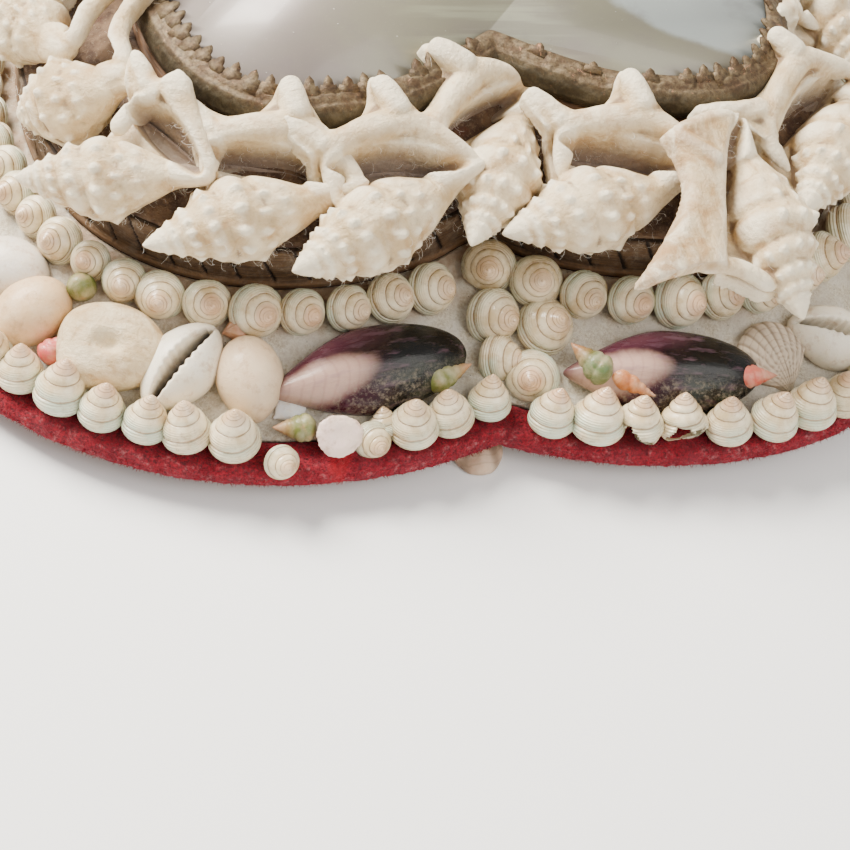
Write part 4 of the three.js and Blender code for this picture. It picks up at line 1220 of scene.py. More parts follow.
def slope_matrix(s, offset, turn, lift=0.0):
    """Lays a shell on the slope, at a distance along its middle line and an offset outside the heart."""
    here, along = beside(SLOPE_LINE, s, offset)
    level = bed_height(offset) + lift
    return (Matrix.Translation((here[0], here[1], level)) @ Matrix.Rotation(along, 4, "Z")
            @ Matrix.Rotation(BED_SLOPE, 4, "X") @ Matrix.Rotation(turn, 4, "Z"))


# Settings shown in the sidebar

class RowSettings(bpy.types.PropertyGroup):
    """The rows of small top shells"""
    scale_spread: bpy.props.FloatProperty(
        name="Size spread", description="How much the shells differ in size", default=0.08)
    turn_spread: bpy.props.FloatProperty(
        name="Turn spread", description="How much the shells differ in direction", default=0.18,
        subtype="ANGLE", unit="ROTATION")
    seed: bpy.props.IntProperty(
        name="Seed", description="Picks another set of small differences", default=7)


class PileSettings(bpy.types.PropertyGroup):
    """The velvet's pile and the dust on the shells"""
    velvet_density: bpy.props.FloatProperty(
        name="Pile density", description="Tufts for each square metre of velvet", default=6500000.0)
    lint_density: bpy.props.FloatProperty(
        name="Lint density", description="Fibres of dust for each square metre of shell", default=360000.0)
    seed: bpy.props.IntProperty(
        name="Seed", description="Picks another scatter of tufts and fibres", default=3)


class ShellBoxSettings(bpy.types.PropertyGroup):
    """All settings of the shell box"""
    rows: bpy.props.PointerProperty(type=RowSettings)
    pile: bpy.props.PointerProperty(type=PileSettings)


# Geometry nodes

def node_group(name, sockets):
    """A geometry node group with named inputs, and a way to add nodes to it."""
    group = bpy.data.node_groups.new(name, "GeometryNodeTree")
    group.interface.new_socket("Geometry", in_out="INPUT", socket_type="NodeSocketGeometry")
    for key, kind in sockets.items():
        group.interface.new_socket(key, in_out="INPUT", socket_type=kind)
    group.interface.new_socket("Geometry", in_out="OUTPUT", socket_type="NodeSocketGeometry")
    source = group.nodes.new("NodeGroupInput")
    sink = group.nodes.new("NodeGroupOutput")

    def add(kind, inputs=None, **settings):
        made = group.nodes.new(kind)
        for key, value in settings.items():
            setattr(made, key, value)
        for key, value in (inputs or {}).items():
            if isinstance(value, bpy.types.NodeSocket):
                group.links.new(value, made.inputs[key])
            else:
                made.inputs[key].default_value = value
        return made

    return group, source, sink, add


def evaluated_plain(made, group, values):
    """Runs a node group on an object with its inputs set by socket, and keeps the plain mesh."""
    modifier = made.modifiers.new(group.name, "NODES")
    modifier.node_group = group
    for item in group.interface.items_tree:
        if item.in_out == "INPUT" and item.name in values:
            modifier[item.identifier] = values[item.name]
    return keep_plain(made)


def number_sockets(node, side):
    """A random value node's number sockets among its inputs or outputs."""
    return [socket for socket in getattr(node, side) if socket.type == "VALUE"]


def add_turned(group, add, rotation, spread, spin, seed):
    """A rotation turned at random by up to a spread about two axes, and by up to a spin about the third."""
    low = [add("ShaderNodeMath", {0: spread, 1: -1.0}, operation="MULTIPLY").outputs[0]] * 3
    high = [spread] * 3
    if spin:
        low[2], high[2] = -spin, spin
    chosen = add("FunctionNodeRandomValue", {"Seed": seed}, data_type="FLOAT_VECTOR")
    for k, limit in enumerate((low, high)):
        group.links.new(add("ShaderNodeCombineXYZ", dict(zip("XYZ", limit))).outputs[0], chosen.inputs[k])
    turn = add("FunctionNodeEulerToRotation", {0: chosen.outputs[0]})
    sockets = {0: rotation, 1: turn.outputs[0]}
    return add("FunctionNodeRotateRotation", sockets, rotation_space="LOCAL").outputs[0]


def end_with(group, add, sink, placed, finish):
    """Ends a group with its instances made real and given their material."""
    real = add("GeometryNodeRealizeInstances", {0: placed.outputs[0]})
    dressed = add("GeometryNodeSetMaterial", {"Geometry": real.outputs[0], "Material": finish})
    group.links.new(dressed.outputs[0], sink.inputs[0])
    return group


def row_group():
    """Sets a shell on every point, turned and sized by the point's own values and a small spread."""
    group, source, sink, add = node_group("Shell Row", {
        "Shell": "NodeSocketObject", "Finish": "NodeSocketMaterial", "Size spread": "NodeSocketFloat",
        "Turn spread": "NodeSocketFloat", "Seed": "NodeSocketInt",
    })
    value = source.outputs
    turn, size = (
        add("GeometryNodeInputNamedAttribute", {"Name": name}, data_type="FLOAT_VECTOR").outputs["Attribute"]
        for name in ("turn", "size")
    )
    low, high = (
        add("ShaderNodeMath", {0: 1.0, 1: value["Size spread"]}, operation=operation).outputs[0]
        for operation in ("SUBTRACT", "ADD")
    )
    spread = add("FunctionNodeRandomValue", {"Min": low, "Max": high, "Seed": value["Seed"]})
    scale = add("ShaderNodeVectorMath", {0: size}, operation="SCALE")
    group.links.new(number_sockets(spread, "outputs")[0], scale.inputs["Scale"])
    shell = add("GeometryNodeObjectInfo", {"Object": value["Shell"]})
    straight = add("FunctionNodeEulerToRotation", {0: turn}).outputs[0]
    rotation = add_turned(group, add, straight, value["Turn spread"], None, value["Seed"])
    points = add("GeometryNodeMeshToPoints", {"Mesh": value["Geometry"]})
    stamp = add("FunctionNodeRandomValue", {"Seed": value["Seed"]}, data_type="FLOAT_VECTOR")
    stamped = add("GeometryNodeStoreNamedAttribute", {
        "Geometry": points.outputs[0], "Name": "tint", "Value": stamp.outputs[0],
    }, data_type="FLOAT_VECTOR")
    placed = add("GeometryNodeInstanceOnPoints", {
        "Points": stamped.outputs[0], "Instance": shell.outputs["Geometry"],
        "Rotation": rotation, "Scale": scale.outputs[0],
    })
    return end_with(group, add, sink, placed, value["Finish"])


def fibre_group():
    """Scatters short fibres over a surface, leaning off its normal by a random amount."""
    group, source, sink, add = node_group("Fibres", {
        "Fibre": "NodeSocketObject", "Finish": "NodeSocketMaterial", "Density": "NodeSocketFloat",
        "Lean": "NodeSocketFloat", "Size low": "NodeSocketFloat", "Size high": "NodeSocketFloat",
        "Seed": "NodeSocketInt",
    })
    value = source.outputs
    points = add("GeometryNodeDistributePointsOnFaces", {
        "Mesh": value["Geometry"], "Density": value["Density"], "Seed": value["Seed"],
    })
    fibre = add("GeometryNodeObjectInfo", {"Object": value["Fibre"]})
    rotation = add_turned(group, add, points.outputs["Rotation"], value["Lean"], math.pi, value["Seed"])
    size = add("FunctionNodeRandomValue", {"Seed": value["Seed"]})
    for name, socket in zip(("Size low", "Size high"), number_sockets(size, "inputs")):
        group.links.new(value[name], socket)
    placed = add("GeometryNodeInstanceOnPoints", {
        "Points": points.outputs["Points"], "Instance": fibre.outputs["Geometry"], "Rotation": rotation,
    })
    group.links.new(number_sockets(size, "outputs")[0], placed.inputs["Scale"])
    return end_with(group, add, sink, placed, value["Finish"])


SHARED = {}


def shared(name, make):
    """A material or node group that several pieces use, made once."""
    if name not in SHARED:
        SHARED[name] = make()
    return SHARED[name]


def drop(made):
    """Removes a template and its mesh."""
    mesh = made.data
    bpy.data.objects.remove(made)
    bpy.data.meshes.remove(mesh)


# Pieces of the base and the lid

def make_base():
    """The base board and the hollow box wall."""
    wood = shared("wood", wood_material)
    edge = box_outline(VELVET_BACK - GAP)
    board = loft("board", [edge, edge], [BOARD_BOTTOM, BOARD_TOP], wood, closed=False)
    finished(board, "wood", "base_board")
    outer, inner = box_outline(-WALL_INSET), box_outline(-WALL_INSET - WALL_THICK)
    levels = [WALL_BOTTOM, WALL_TOP, WALL_TOP, WALL_BOTTOM]
    wall = loft("wall", [outer, outer, inner, inner], levels, wood)
    finished(wall, "wood", "box_wall")


def make_bed():
    """The sloped plaster bed, lumpy and heaped up along the rows."""
    plaster = shared("plaster", plaster_material)
    inner, toe = -WALL_INSET + GAP, BED_TOE
    profile = [(inner, WALL_BOTTOM), (toe, WALL_BOTTOM), (toe, BED_TOE_TOP)]
    steps = 46
    slope = [(toe + (inner - toe) * k / steps, BED_TOE_TOP + (BED_TOP - BED_TOE_TOP) * k / steps)
             for k in range(1, steps + 1)]

    def rough(places, section):
        on_slope = section[:, 2] > BED_TOE_TOP - 0.1
        offset = section[:, 1]
        heaps = np.exp(-((offset - 3.2) / 2.6) ** 2) * 1.5 + np.exp(-((offset - 17) / 2.2) ** 2) * 0.8
        soft, sharp, fine = grains(places, 5.0), grains(places, 1.7, 3.0), grains(places, 0.7, 8.0)
        rise = 0.5 * soft + 0.35 * sharp + 0.16 * fine + heaps * (0.5 + 0.5 * soft)
        places = places.copy()
        places[:, 2] += on_slope * np.clip((offset - inner) / 1.5, 0, 1) * rise
        return places

    bed = profile_ring("bed", box_outline, profile + slope, 520, plaster, rough)
    finished(bed, "plaster", "shell_bed")


def make_velvet():
    """The velvet strip round the board."""
    velvet = shared("velvet", velvet_material)
    reach = VELVET_REACH
    section = [
        (VELVET_BACK, BOARD_BOTTOM), (reach - 0.5, BOARD_BOTTOM), (reach, BOARD_BOTTOM + 1.0),
        (reach, VELVET_TOP - 1.2), (reach - 0.9, VELVET_TOP), (VELVET_LAP_EDGE, VELVET_TOP),
        (VELVET_LAP_EDGE, BOARD_TOP + GAP), (VELVET_BACK, BOARD_TOP + GAP),
    ]
    profile = smooth_profile(section, 40)

    def rough(places, section):
        outside = (section[:, 1] > VELVET_BACK + 0.3) | (section[:, 2] > BOARD_TOP + 0.6)
        push = outside * (0.3 * grains(places, 4.0) + 0.32 * grains(places, 0.9, 5.0))
        places = pushed_out(places, push * (section[:, 1] > reach - 1.6))
        places[:, 2] += push * 0.9 * (section[:, 2] > VELVET_TOP - 0.6)
        return places

    strip = profile_ring("velvet_strip", box_outline, profile, 620, velvet, rough)
    finished(strip, "velvet", "velvet_edge")


def make_pile():
    """Short tufts over the velvet's outside."""
    settings = bpy.context.scene.shell_box.pile
    material = shared("velvet_pile", lambda: velvet_material("velvet_pile", pile=True))
    corners = [(-0.055, 0, 0), (0.055, 0, 0), (0.03, 0.09, 0.62), (0, -0.06, -0.1)]
    sides = [(0, 1, 2), (1, 3, 2), (3, 0, 2), (0, 3, 1)]
    tuft = new_object("tuft_template", corners, sides, material, smooth=False)
    reach = VELVET_REACH
    section = [(reach - 0.55, BOARD_BOTTOM + 0.2), (reach - 0.1, BOARD_BOTTOM + 1.0),
               (reach - 0.1, VELVET_TOP - 1.2), (reach - 1.0, VELVET_TOP - 0.1),
               (VELVET_LAP_EDGE + 0.6, VELVET_TOP - 0.1)]
    profile = section + [(reach - 2.4, VELVET_TOP - 0.6), (reach - 1.2, BOARD_BOTTOM + 1.0)]
    half_count = 240
    field = profile_ring("velvet_pile", box_outline, profile, half_count, material)
    mesh = field.data
    columns = len(box_outline(reach, half_count))
    shown = [tuple(face.vertices) for face in mesh.polygons if max(face.vertices) < len(section) * columns]
    places = [tuple(v.co / MM) for v in mesh.vertices]
    values = np.zeros(len(places) * 3, np.float32)
    mesh.attributes["section"].data.foreach_get("vector", values)
    drop(field)
    pile = new_object("velvet_pile", places, shown, material, {"section": values.reshape(-1, 3)})
    evaluated_plain(pile, shared("fibres", fibre_group), {
        "Fibre": tuft, "Finish": material, "Density": settings.velvet_density, "Lean": 0.9,
        "Size low": 0.75, "Size high": 1.5, "Seed": settings.seed,
    })
    drop(tuft)
    finished(pile, "velvet")


def make_feet():
    """Four scallops under the board."""
    material = shared("scallop", scallop_material)
    spots = [("foot_notch", -3.0, -VELVET_REACH - 0.6, 0.0), ("foot_left", -85.2, 49.4, 1.4),
             ("foot_right", 85.2, 49.4, -1.4), ("foot_point", 0.0, 139.9, 0.3)]
    ribs, color, feet = 13, tone(206, 170, 140), []
    for name, x, y, turn in spots:
        foot = dome_shell(name, material, 12.4, 9.4, 3.9, ribbed(ribs, 0.07), color, rib_marks(ribs),
                          around=130)
        matrix = Matrix.Translation((x, y - MIDDLE_Y, 0.1)) @ Matrix.Rotation(turn - math.pi / 2, 4, "Z")
        feet.append(laid(foot, matrix))
    finished(joined_objects("shell_feet", feet), "scallop", *[name for name, _, _, _ in spots])


def make_lid():
    """The lid's kerfed rim, its board, its bed of glue and the mirror's block."""
    wood = shared("wood", wood_material)
    # The lid's glue material holds painted shade as well as the glue's colour.
    glue = shared("glue", glue_and_shade_material)
    kerfed = shared("rim_wood", rim_material)
    outer, inner = -WALL_INSET, -WALL_INSET - WALL_THICK
    kerf_pitch, kerf_half_width, kerf_depth, kerf_slant = 5.6, 0.3, 0.9, 0.45
    rim_length = 430.0
    profile = [(inner, LID_TOP), (inner, RIM_BOTTOM), (outer + 0.45, RIM_BOTTOM)]
    levels = np.linspace(RIM_BOTTOM + 0.15, LID_TOP, 22)
    profile += [(outer + (0.5 if level < RIM_BOTTOM + 1.1 else 0.0), level) for level in levels]

    def kerfs(places, section):
        on_face = (section[:, 1] > outer - 0.2) & (section[:, 2] > RIM_BOTTOM + 1.15)
        place = (section[:, 0] * rim_length + (section[:, 2] - RIM_BOTTOM) * kerf_slant) / kerf_pitch
        whole = np.floor(place)
        wander = 0.16 * np.sin(whole * 12.9898)
        near = np.abs(place - whole - 0.5 - wander) * kerf_pitch
        deep = np.where(near < kerf_half_width, kerf_depth, 0.0) * on_face
        places = pushed_out(places, 0.16 * grains(places, 2.2) * on_face - deep)
        # The cuts' depth, kept in the section, marks where shade is painted.
        section[:, 1] -= deep
        return places

    rim = profile_ring("kerfed_rim", box_outline, profile, 900, kerfed, kerfs)
    finished(rim, "rim_wood", "lid_rim")
    edge = box_outline(inner - GAP)
    board = loft("lid_panel", [edge, edge], [LID_TOP - PANEL_THICK, LID_TOP], wood, closed=False)
    finished(board, "wood", "lid_board")

    count, steps = 520, 25
    outline_low = box_outline(-WALL_INSET - 0.9, count)
    outline_high = mirror_outline(BLOCK_REACH + 3.3, count)
    outline_in = mirror_outline(BLOCK_REACH + GAP, count)
    outlines, levels = [outline_low], [LID_SEAT]
    for k in range(steps + 1):
        share = k / steps
        outlines.append(outline_low * (1 - share) + outline_high * share)
        levels.append(LID_SEAT + 0.8 + 7.2 * share)
    outlines += [outline_in, outline_in]
    levels += [LID_SEAT + 8, LID_SEAT]

    def rough(places):
        top = (places[:, 2] > LID_SEAT + 0.5)
        places = places.copy()
        places[:, 2] += top * (0.5 * grains(places, 4.5) + 0.3 * grains(places, 1.5, 3.0) - 0.2)
        return places

    bed = loft("lid_plaster", outlines, levels, glue, True, rough)
    finished(bed, "plaster", "lid_bed")
    low, high = mirror_outline(BLOCK_REACH), mirror_outline(MIRROR_EDGE)
    levels = [LID_SEAT, BLOCK_SHELF, BLOCK_SHELF, GLASS_BOTTOM - GAP]
    block = loft("mirror_support", [low, low, high, high], levels, wood, closed=False)
    finished(block, "wood", "mirror_block")


def make_mirror():
    """The mirror glass."""
    material, edge = shared("mirror_glass", mirror_material), mirror_outline(MIRROR_EDGE)
    glass = loft("looking_glass", [edge, edge], [GLASS_BOTTOM, GLASS_TOP], material, closed=False)
    finished(glass, "mirror_glass", "mirror_glass")


def make_bezel():
    """The pressed band round the mirror and the sawtooth points on its lip."""
    metal = shared("bronze", bronze_material)
    section = [(-0.3, 40.4), (4.0, 40.4), (4.5, 41.0), (4.7, 42.4), (4.3, 44.2), (3.4, 45.7), (2.2, 46.4),
               (1.0, 46.8), (0.0, 46.8), (-0.8, 46.4), (-0.2, 46.2)]
    profile = smooth_profile(section, 60)

    beads, tooth_pitch = 150, 3.5

    def dents(places, section):
        along, offset, level = section.T
        outside = (offset > 0.6) | (level > 46.6)
        bead = 0.14 * np.sin(along * 2 * math.pi * beads) * np.exp(-((offset - 4.6) / 0.8) ** 2)
        groove = -0.3 * np.exp(-((offset - 2.6) / 0.4) ** 2)
        groove = groove - 0.25 * np.exp(-((level - 42.8) / 0.4) ** 2) * (offset > 4)
        soft = 0.5 * grains(places, 6.0) + 0.28 * grains(places, 2.0, 4.0) + 0.14 * grains(places, 0.8, 6.0)
        torn = np.exp(-((places[:, 0] - 20.0) / 9.0) ** 2) * (places[:, 1] < -20)
        push = outside * (bead + groove + soft * (0.5 + torn))
        places = places.copy()
        places[:, 2] += push * (level > 42)
        return places

    band = profile_ring("bezel_band", mirror_outline, profile, 460, metal, dents)
    outline = mirror_outline(0.9, 700)
    closed = np.vstack([outline, outline[0]])
    lengths = lengths_along(closed)
    spot_at = lambda length: np.array([np.interp(length, lengths, closed[:, k]) for k in (0, 1)])
    count = round(lengths[-1] / tooth_pitch)
    random.seed(11)
    teeth = []
    for i in range(count):
        at = lengths[-1] * (i + 0.5) / count
        here, ahead = spot_at(at), spot_at(min(at + 0.6, lengths[-1]))
        turn = math.atan2(ahead[1] - here[1], ahead[0] - here[0])
        torn = -1.0 < here[0] < 34.0 and here[1] < -22.0
        if random.random() < (0.72 if torn else 0.06):
            continue
        tall = random.uniform(0.8, 1.1) * (0.6 if torn else 1.0)
        lift = random.uniform(0.35, 0.75)
        places, faces = tooth_shape(random.uniform(3.2, 3.8), 3.2 * tall)
        matrix = Matrix.Translation((here[0], here[1], GLASS_TOP + 0.5)) @ Matrix.Rotation(turn, 4, "Z")
        matrix = matrix @ Matrix.Rotation(random.uniform(-0.18, 0.18), 4, "Z") @ Matrix.Rotation(lift, 4, "X")
        moved = np.array([matrix @ Vector(p) for p in places])
        marks = np.tile([0.0, 1.0, 46.5], (len(moved), 1))
        teeth.append(new_object(f"tooth_{i}", moved, faces, metal, {"section": marks}))
    whole = joined_objects("pressed_bezel", [band] + teeth)
    finished(whole, "bronze", "bezel")


def tooth_shape(width, length):
    """A thick little leaf of metal with a smaller notch on either side, pointing along +Y."""
    edge = [(-0.5, -0.4), (-0.5, 0.2), (-0.4, 0.5), (-0.27, 0.46), (-0.2, 0.76), (0, 1), (0.2, 0.76),
            (0.27, 0.46), (0.4, 0.5), (0.5, 0.2), (0.5, -0.4)]
    upper = [(x * width, y * length, 0.35 + 0.15 * (1 - abs(x) * 2)) for x, y in edge]
    lower = [(x * width, y * length, -0.15) for x, y in edge]
    middle = [(0, 0.3 * length, 0.5), (0, 0.3 * length, -0.2)]
    places = np.array(upper + lower + middle, float)
    n = len(edge)
    faces = []
    for i in range(n):
        k = (i + 1) % n
        faces += [(i, 2 * n, k), (i + n, k + n, 2 * n + 1), (i, k, k + n, i + n)]
    return places, outward_faces(places, faces)


# Rows of small shells

def row_points(name, spots):
    """Points with a turn and a size each, from (place, turn, size) in millimetres and radians."""
    mesh = bpy.data.meshes.new(name)
    mesh.from_pydata([tuple(c * MM for c in place) for place, _, _ in spots], [], [])
    for key, index in (("turn", 1), ("size", 2)):
        layer = mesh.attributes.new(key, "FLOAT_VECTOR", "POINT")
        layer.data.foreach_set("vector", np.array([s[index] for s in spots], np.float32).ravel())
    made = bpy.data.objects.new(name, mesh)
    bpy.context.scene.collection.objects.link(made)
    return made


def spaced(start, pitch, count):
    """Distances from a start at an even pitch."""
    return [start + pitch * i for i in range(count)]


def leaning(along, lean, yaw, spin):
    """Turn of a shell whose tip leans outwards from upright, with its seam spun about its own axis."""
    turned = Matrix.Rotation(along + yaw, 4, "Z") @ Matrix.Rotation(lean, 4, "X")
    return tuple((turned @ Matrix.Rotation(spin, 4, "Z")).to_euler())


def spot(x, y, z, turn, size, tall=1.0):
    """A place, a turn and sizes for one small top shell, stretched upwards if asked."""
    return (x, y, z), turn, (size, size, size * tall)


def set_row(name, spots, *nodes):
    """Sets top shells on spots and keeps them as one mesh."""
    settings = bpy.context.scene.shell_box.rows
    pearl = shared("pearl", pearl_material)
    template = top_template(pearl)
    row = row_points(name, spots)
    evaluated_plain(row, shared("rows", row_group), {
        "Shell": template, "Finish": pearl, "Size spread": settings.scale_spread,
        "Turn spread": settings.turn_spread, "Seed": settings.seed,
    })
    drop(template)
    row.data.shade_smooth()
    return finished(row, "pearl", *nodes)


def inner_spots(runs):
    """Spots against the box wall, from runs of start, pitch and count."""
    offset, spots = -0.7, []
    for start, pitch, count in runs:
        for s in spaced(start, pitch, count):
            (x, y), along = beside(0, s, offset)
            turn = leaning(along, 0.95, 0.25, 1.0)
            spots.append(spot(x, y, bed_height(offset) + 0.5, turn, abs(pitch) / TOP_PITCH))
    return spots


def outer_spots(runs):
    """Spots on the velvet, from runs of start, pitch, count and offset."""
    spots = []
    for start, pitch, count, offset in runs:
        for s in spaced(start, pitch, count):
            (x, y), along = beside(VELVET_LINE, s, offset)
            turn = leaning(along, -0.04, 0.1, 2.2)
            spots.append(spot(x, y, VELVET_TOP + 0.1, turn, abs(pitch) / TOP_PITCH, 1.22))
    return spots


# The two pairs below the notch: x and y from the notch, size, yaw and lean
NOTCH_PAIRS = [
    (0.0, -8.4, 1.12, 0.5, 1.0), (9.8, -11.4, 1.22, 0.3, 0.75),
    (-0.4, -15.6, 1.1, 0.7, 1.1), (7.7, -19.2, 1.22, -0.6, 0.8),
]


def make_inner_rows():
    """The rows against the box wall and the two pairs below the notch."""
    half = HeartPath(0).half
    right_end, left_end = half - 4.0, half - 9.0
    right_rest = (96.3, 8.5, int((right_end - 96.3) / 8.5) + 1)
    left_rest = (-131.0, -7.6, int((left_end - 131.0) / 7.6) + 1)
    right = inner_spots([(1.8, 8.6, 6), (53.2, 8.2, 2), (69.2, 9.2, 3), right_rest])
    left = inner_spots([(-12.9, -8.05, 7), (-67.9, -7.0, 9), left_rest])
    pairs = [spot(x, y - MIDDLE_Y, bed_height(-y) + 0.4, leaning(yaw, lean, 0, 1.0), size)
             for x, y, size, yaw, lean in NOTCH_PAIRS]
    set_row("inner_tops_right", right, "inner_row_right")
    set_row("inner_tops_left", left, "inner_row_left")
    set_row("notch_top_pairs", pairs, "notch_tops")


def make_outer_rows():
    """The rows on the velvet, with two broken shells on the right."""
    half = HeartPath(VELVET_LINE).half
    right_rest = (74.4, 8.1, int((half - 4.0 - 74.4) / 8.1) + 1, 23.0)
    left_rest = (-94.8, -8.0, int((half - 9.0 - 94.8) / 8.0) + 1, 22.6)
    right = outer_spots([(-17.3, 7.45, 3, 22.6), (9.6, 8.1, 2, 24.0), (42.0, 8.1, 4, 24.0), right_rest])
    left = outer_spots([(-48.5, -7.72, 6, 22.6), left_rest])
    set_row("outer_tops_right", right, "outer_row_right")
    set_row("outer_tops_left", left, "outer_row_left")
    pearl = shared("pearl", pearl_material)
    broken = []
    for k, (s, start, width) in enumerate(((25.2, 3.6, 1.9), (33.6, 4.6, 1.5))):
        template = broken_top(pearl, f"broken_{k}", start, width)
        (x, y), along = beside(VELVET_LINE, s, 23.8)
        turn = Matrix.Rotation(along + 0.25 * k, 4, "Z") @ Matrix.Rotation(-0.2 - 0.15 * k, 4, "X")
        matrix = Matrix.Translation((x, y, VELVET_TOP + 0.2)) @ turn @ Matrix.Diagonal((0.98, 0.98, 1.18, 1))
        broken.append(laid(template, matrix, f"broken_top_{k + 1}"))
    finished(joined_objects("broken_tops", broken), "pearl")


def broken_top(material, name, start, width):
    """A top shell with a bite out of its mouth side, its broken wall shown with its thickness."""
    rows, around = 40, 72
    points, marks = spiral_grid(TOP_PROFILE, rows, around, TOP_GROWTH, 0.2, TOP_FROM)
    theta = np.linspace(0, 2 * math.pi, around, endpoint=False)
    edge = 3.4 * np.clip(1 - ((theta - start) / width) ** 2, 0, 1) ** 0.7
    edge = edge + np.where(edge > 0, 0.35 * np.sin(theta * 5) + 0.2 * np.sin(theta * 13 + 1), 0)
    edge = np.where(np.abs(theta - start) < width, np.clip(edge, 0.0, 3.8), -1)
    shown = points[:, :, 2] >= edge[None, :]
    inner = points * np.array([0.86, 0.86, 1.0]) - np.array([0, 0, 0.35])
    places = np.vstack([points.reshape(-1, 3), inner.reshape(-1, 3)])
    values = np.vstack([marks.reshape(-1, 3), marks.reshape(-1, 3)])
    shift = rows * around
    faces, kept = [], np.zeros((rows - 1, around), bool)
    for i in range(rows - 1):
        for j in range(around):
            m = (j + 1) % around
            kept[i, j] = shown[i, j] and shown[i, m] and shown[i + 1, j] and shown[i + 1, m]
            if kept[i, j]:
                a, b, c, d = i * around + j, i * around + m, (i + 1) * around + m, (i + 1) * around + j
                faces += [(a, b, c, d), (d + shift, c + shift, b + shift, a + shift)]
    for i in range(rows - 1):
        for j in range(around):
            if not kept[i, j]:
                continue
            m = (j + 1) % around
            a, b, c, d = i * around + j, i * around + m, (i + 1) * around + m, (i + 1) * around + j
            if i == 0 or not kept[i - 1, j]:
                faces.append((b, a, a + shift, b + shift))
            if i == rows - 2 or not kept[i + 1, j]:
                faces.append((d, c, c + shift, d + shift))
            if not kept[i, j - 1]:
                faces.append((a, d, d + shift, a + shift))
            if not kept[i, m]:
                faces.append((c, b, b + shift, c + shift))
    return new_object(name, places, faces, material, {"whorl": values, "tint": np.full_like(places, 0.4)})


# Larger shells

# Front of the ring: x and y from the notch, turn, lift of the canal, lean outwards, size and lip
PELICANS = [
    (-71.4, 25.8, -0.5, 0.62, 0.1, 0.95, "arm"),
    (-66.5, 6.3, -0.22, 0.2, 0.5, 0.92, "bent"),
    (-44.6, -3.8, 0.19, 0.12, 0.4, 1.0, "plain"),
    (-21.8, -6.6, 0.52, 0.12, 0.4, 1.04, "plain"),
    (2.2, 6.2, 1.12, 0.16, 0.38, 1.0, "plain"),
    (17.8, -3.2, 0.24, 0.12, 0.38, 1.02, "plain"),
    (49.0, -8.6, 1.76, 0.34, 0.2, 1.06, "open"),
    (67.2, 10.6, 0.96, 0.1, 0.35, 1.0, "long"),
]
PELICAN_LEVEL = LID_TOP + 6.5


def back_pelicans():
    """The rest of the ring, evenly spread up both sides to the point of the heart."""
    specs = []
    path = HeartPath(RING_LINE)
    for side, start, end, first in ((1, 0.502, 0.955, "plain"), (-1, 0.488, 0.935, "arm")):
        size = (end - start) * path.half / 4 / RING_PITCH
        for i, kind in enumerate((first, "long", "bent", "plain", "long")):
            (x, y), along = path.place(side * (start + (end - start) * i / 4) * path.half)
            lean = 0.3 if kind == "arm" else 0.38
            specs.append((x, y + MIDDLE_Y, along + 0.38, 0.12, lean, size, kind))
    return specs


def make_pelicans():
    """The ring of pelican's foot shells on the lid."""
    bone = shared("bone_shell", bone_material)
    templates = {kind: pelican_template(f"pelican_{kind}", lip, bone) for kind, lip in LIPS.items()}
    for i, (x, y, turn, lift, lean, size, kind) in enumerate(PELICANS + back_pelicans()):
        matrix = (Matrix.Translation((x, y - MIDDLE_Y, PELICAN_LEVEL)) @ Matrix.Rotation(turn, 4, "Z")
                  @ Matrix.Rotation(-lift, 4, "Y") @ Matrix.Rotation(lean, 4, "X") @ Matrix.Scale(size, 4))
        if kind == "arm":
            matrix = matrix @ Matrix.Diagonal((0.8, 1.05, 1.05, 1))
        shell = copied(templates[kind], f"pelicans_foot_{i + 1}", matrix, wobble=0.9, seed=i * 3.1)
        finished(shell, "bone_shell", f"pelican_shell_{i + 1}")
    for template in templates.values():
        drop(template)


def shaded_slit(places):
    """Marks the slit of a cowrie."""
    off = places[:, 1] / 5.7 - 0.06 + 0.16 * (places[:, 0] / 8.7) ** 2
    on_face = (np.abs(places[:, 0]) < 7.6) * (places[:, 2] > 0.4) * (places[:, 2] < 4.8)
    return np.outer(np.exp(-(off / 0.11) ** 2) * on_face, [1, 0, 0])


def set_slope_shell(template, slot_name, s, offset, turn, node, lift=0.0):
    """Lays a shell on the slope in place of a solid."""
    finished(laid(template, slope_matrix(s, offset, turn, lift)), slot_name, node)


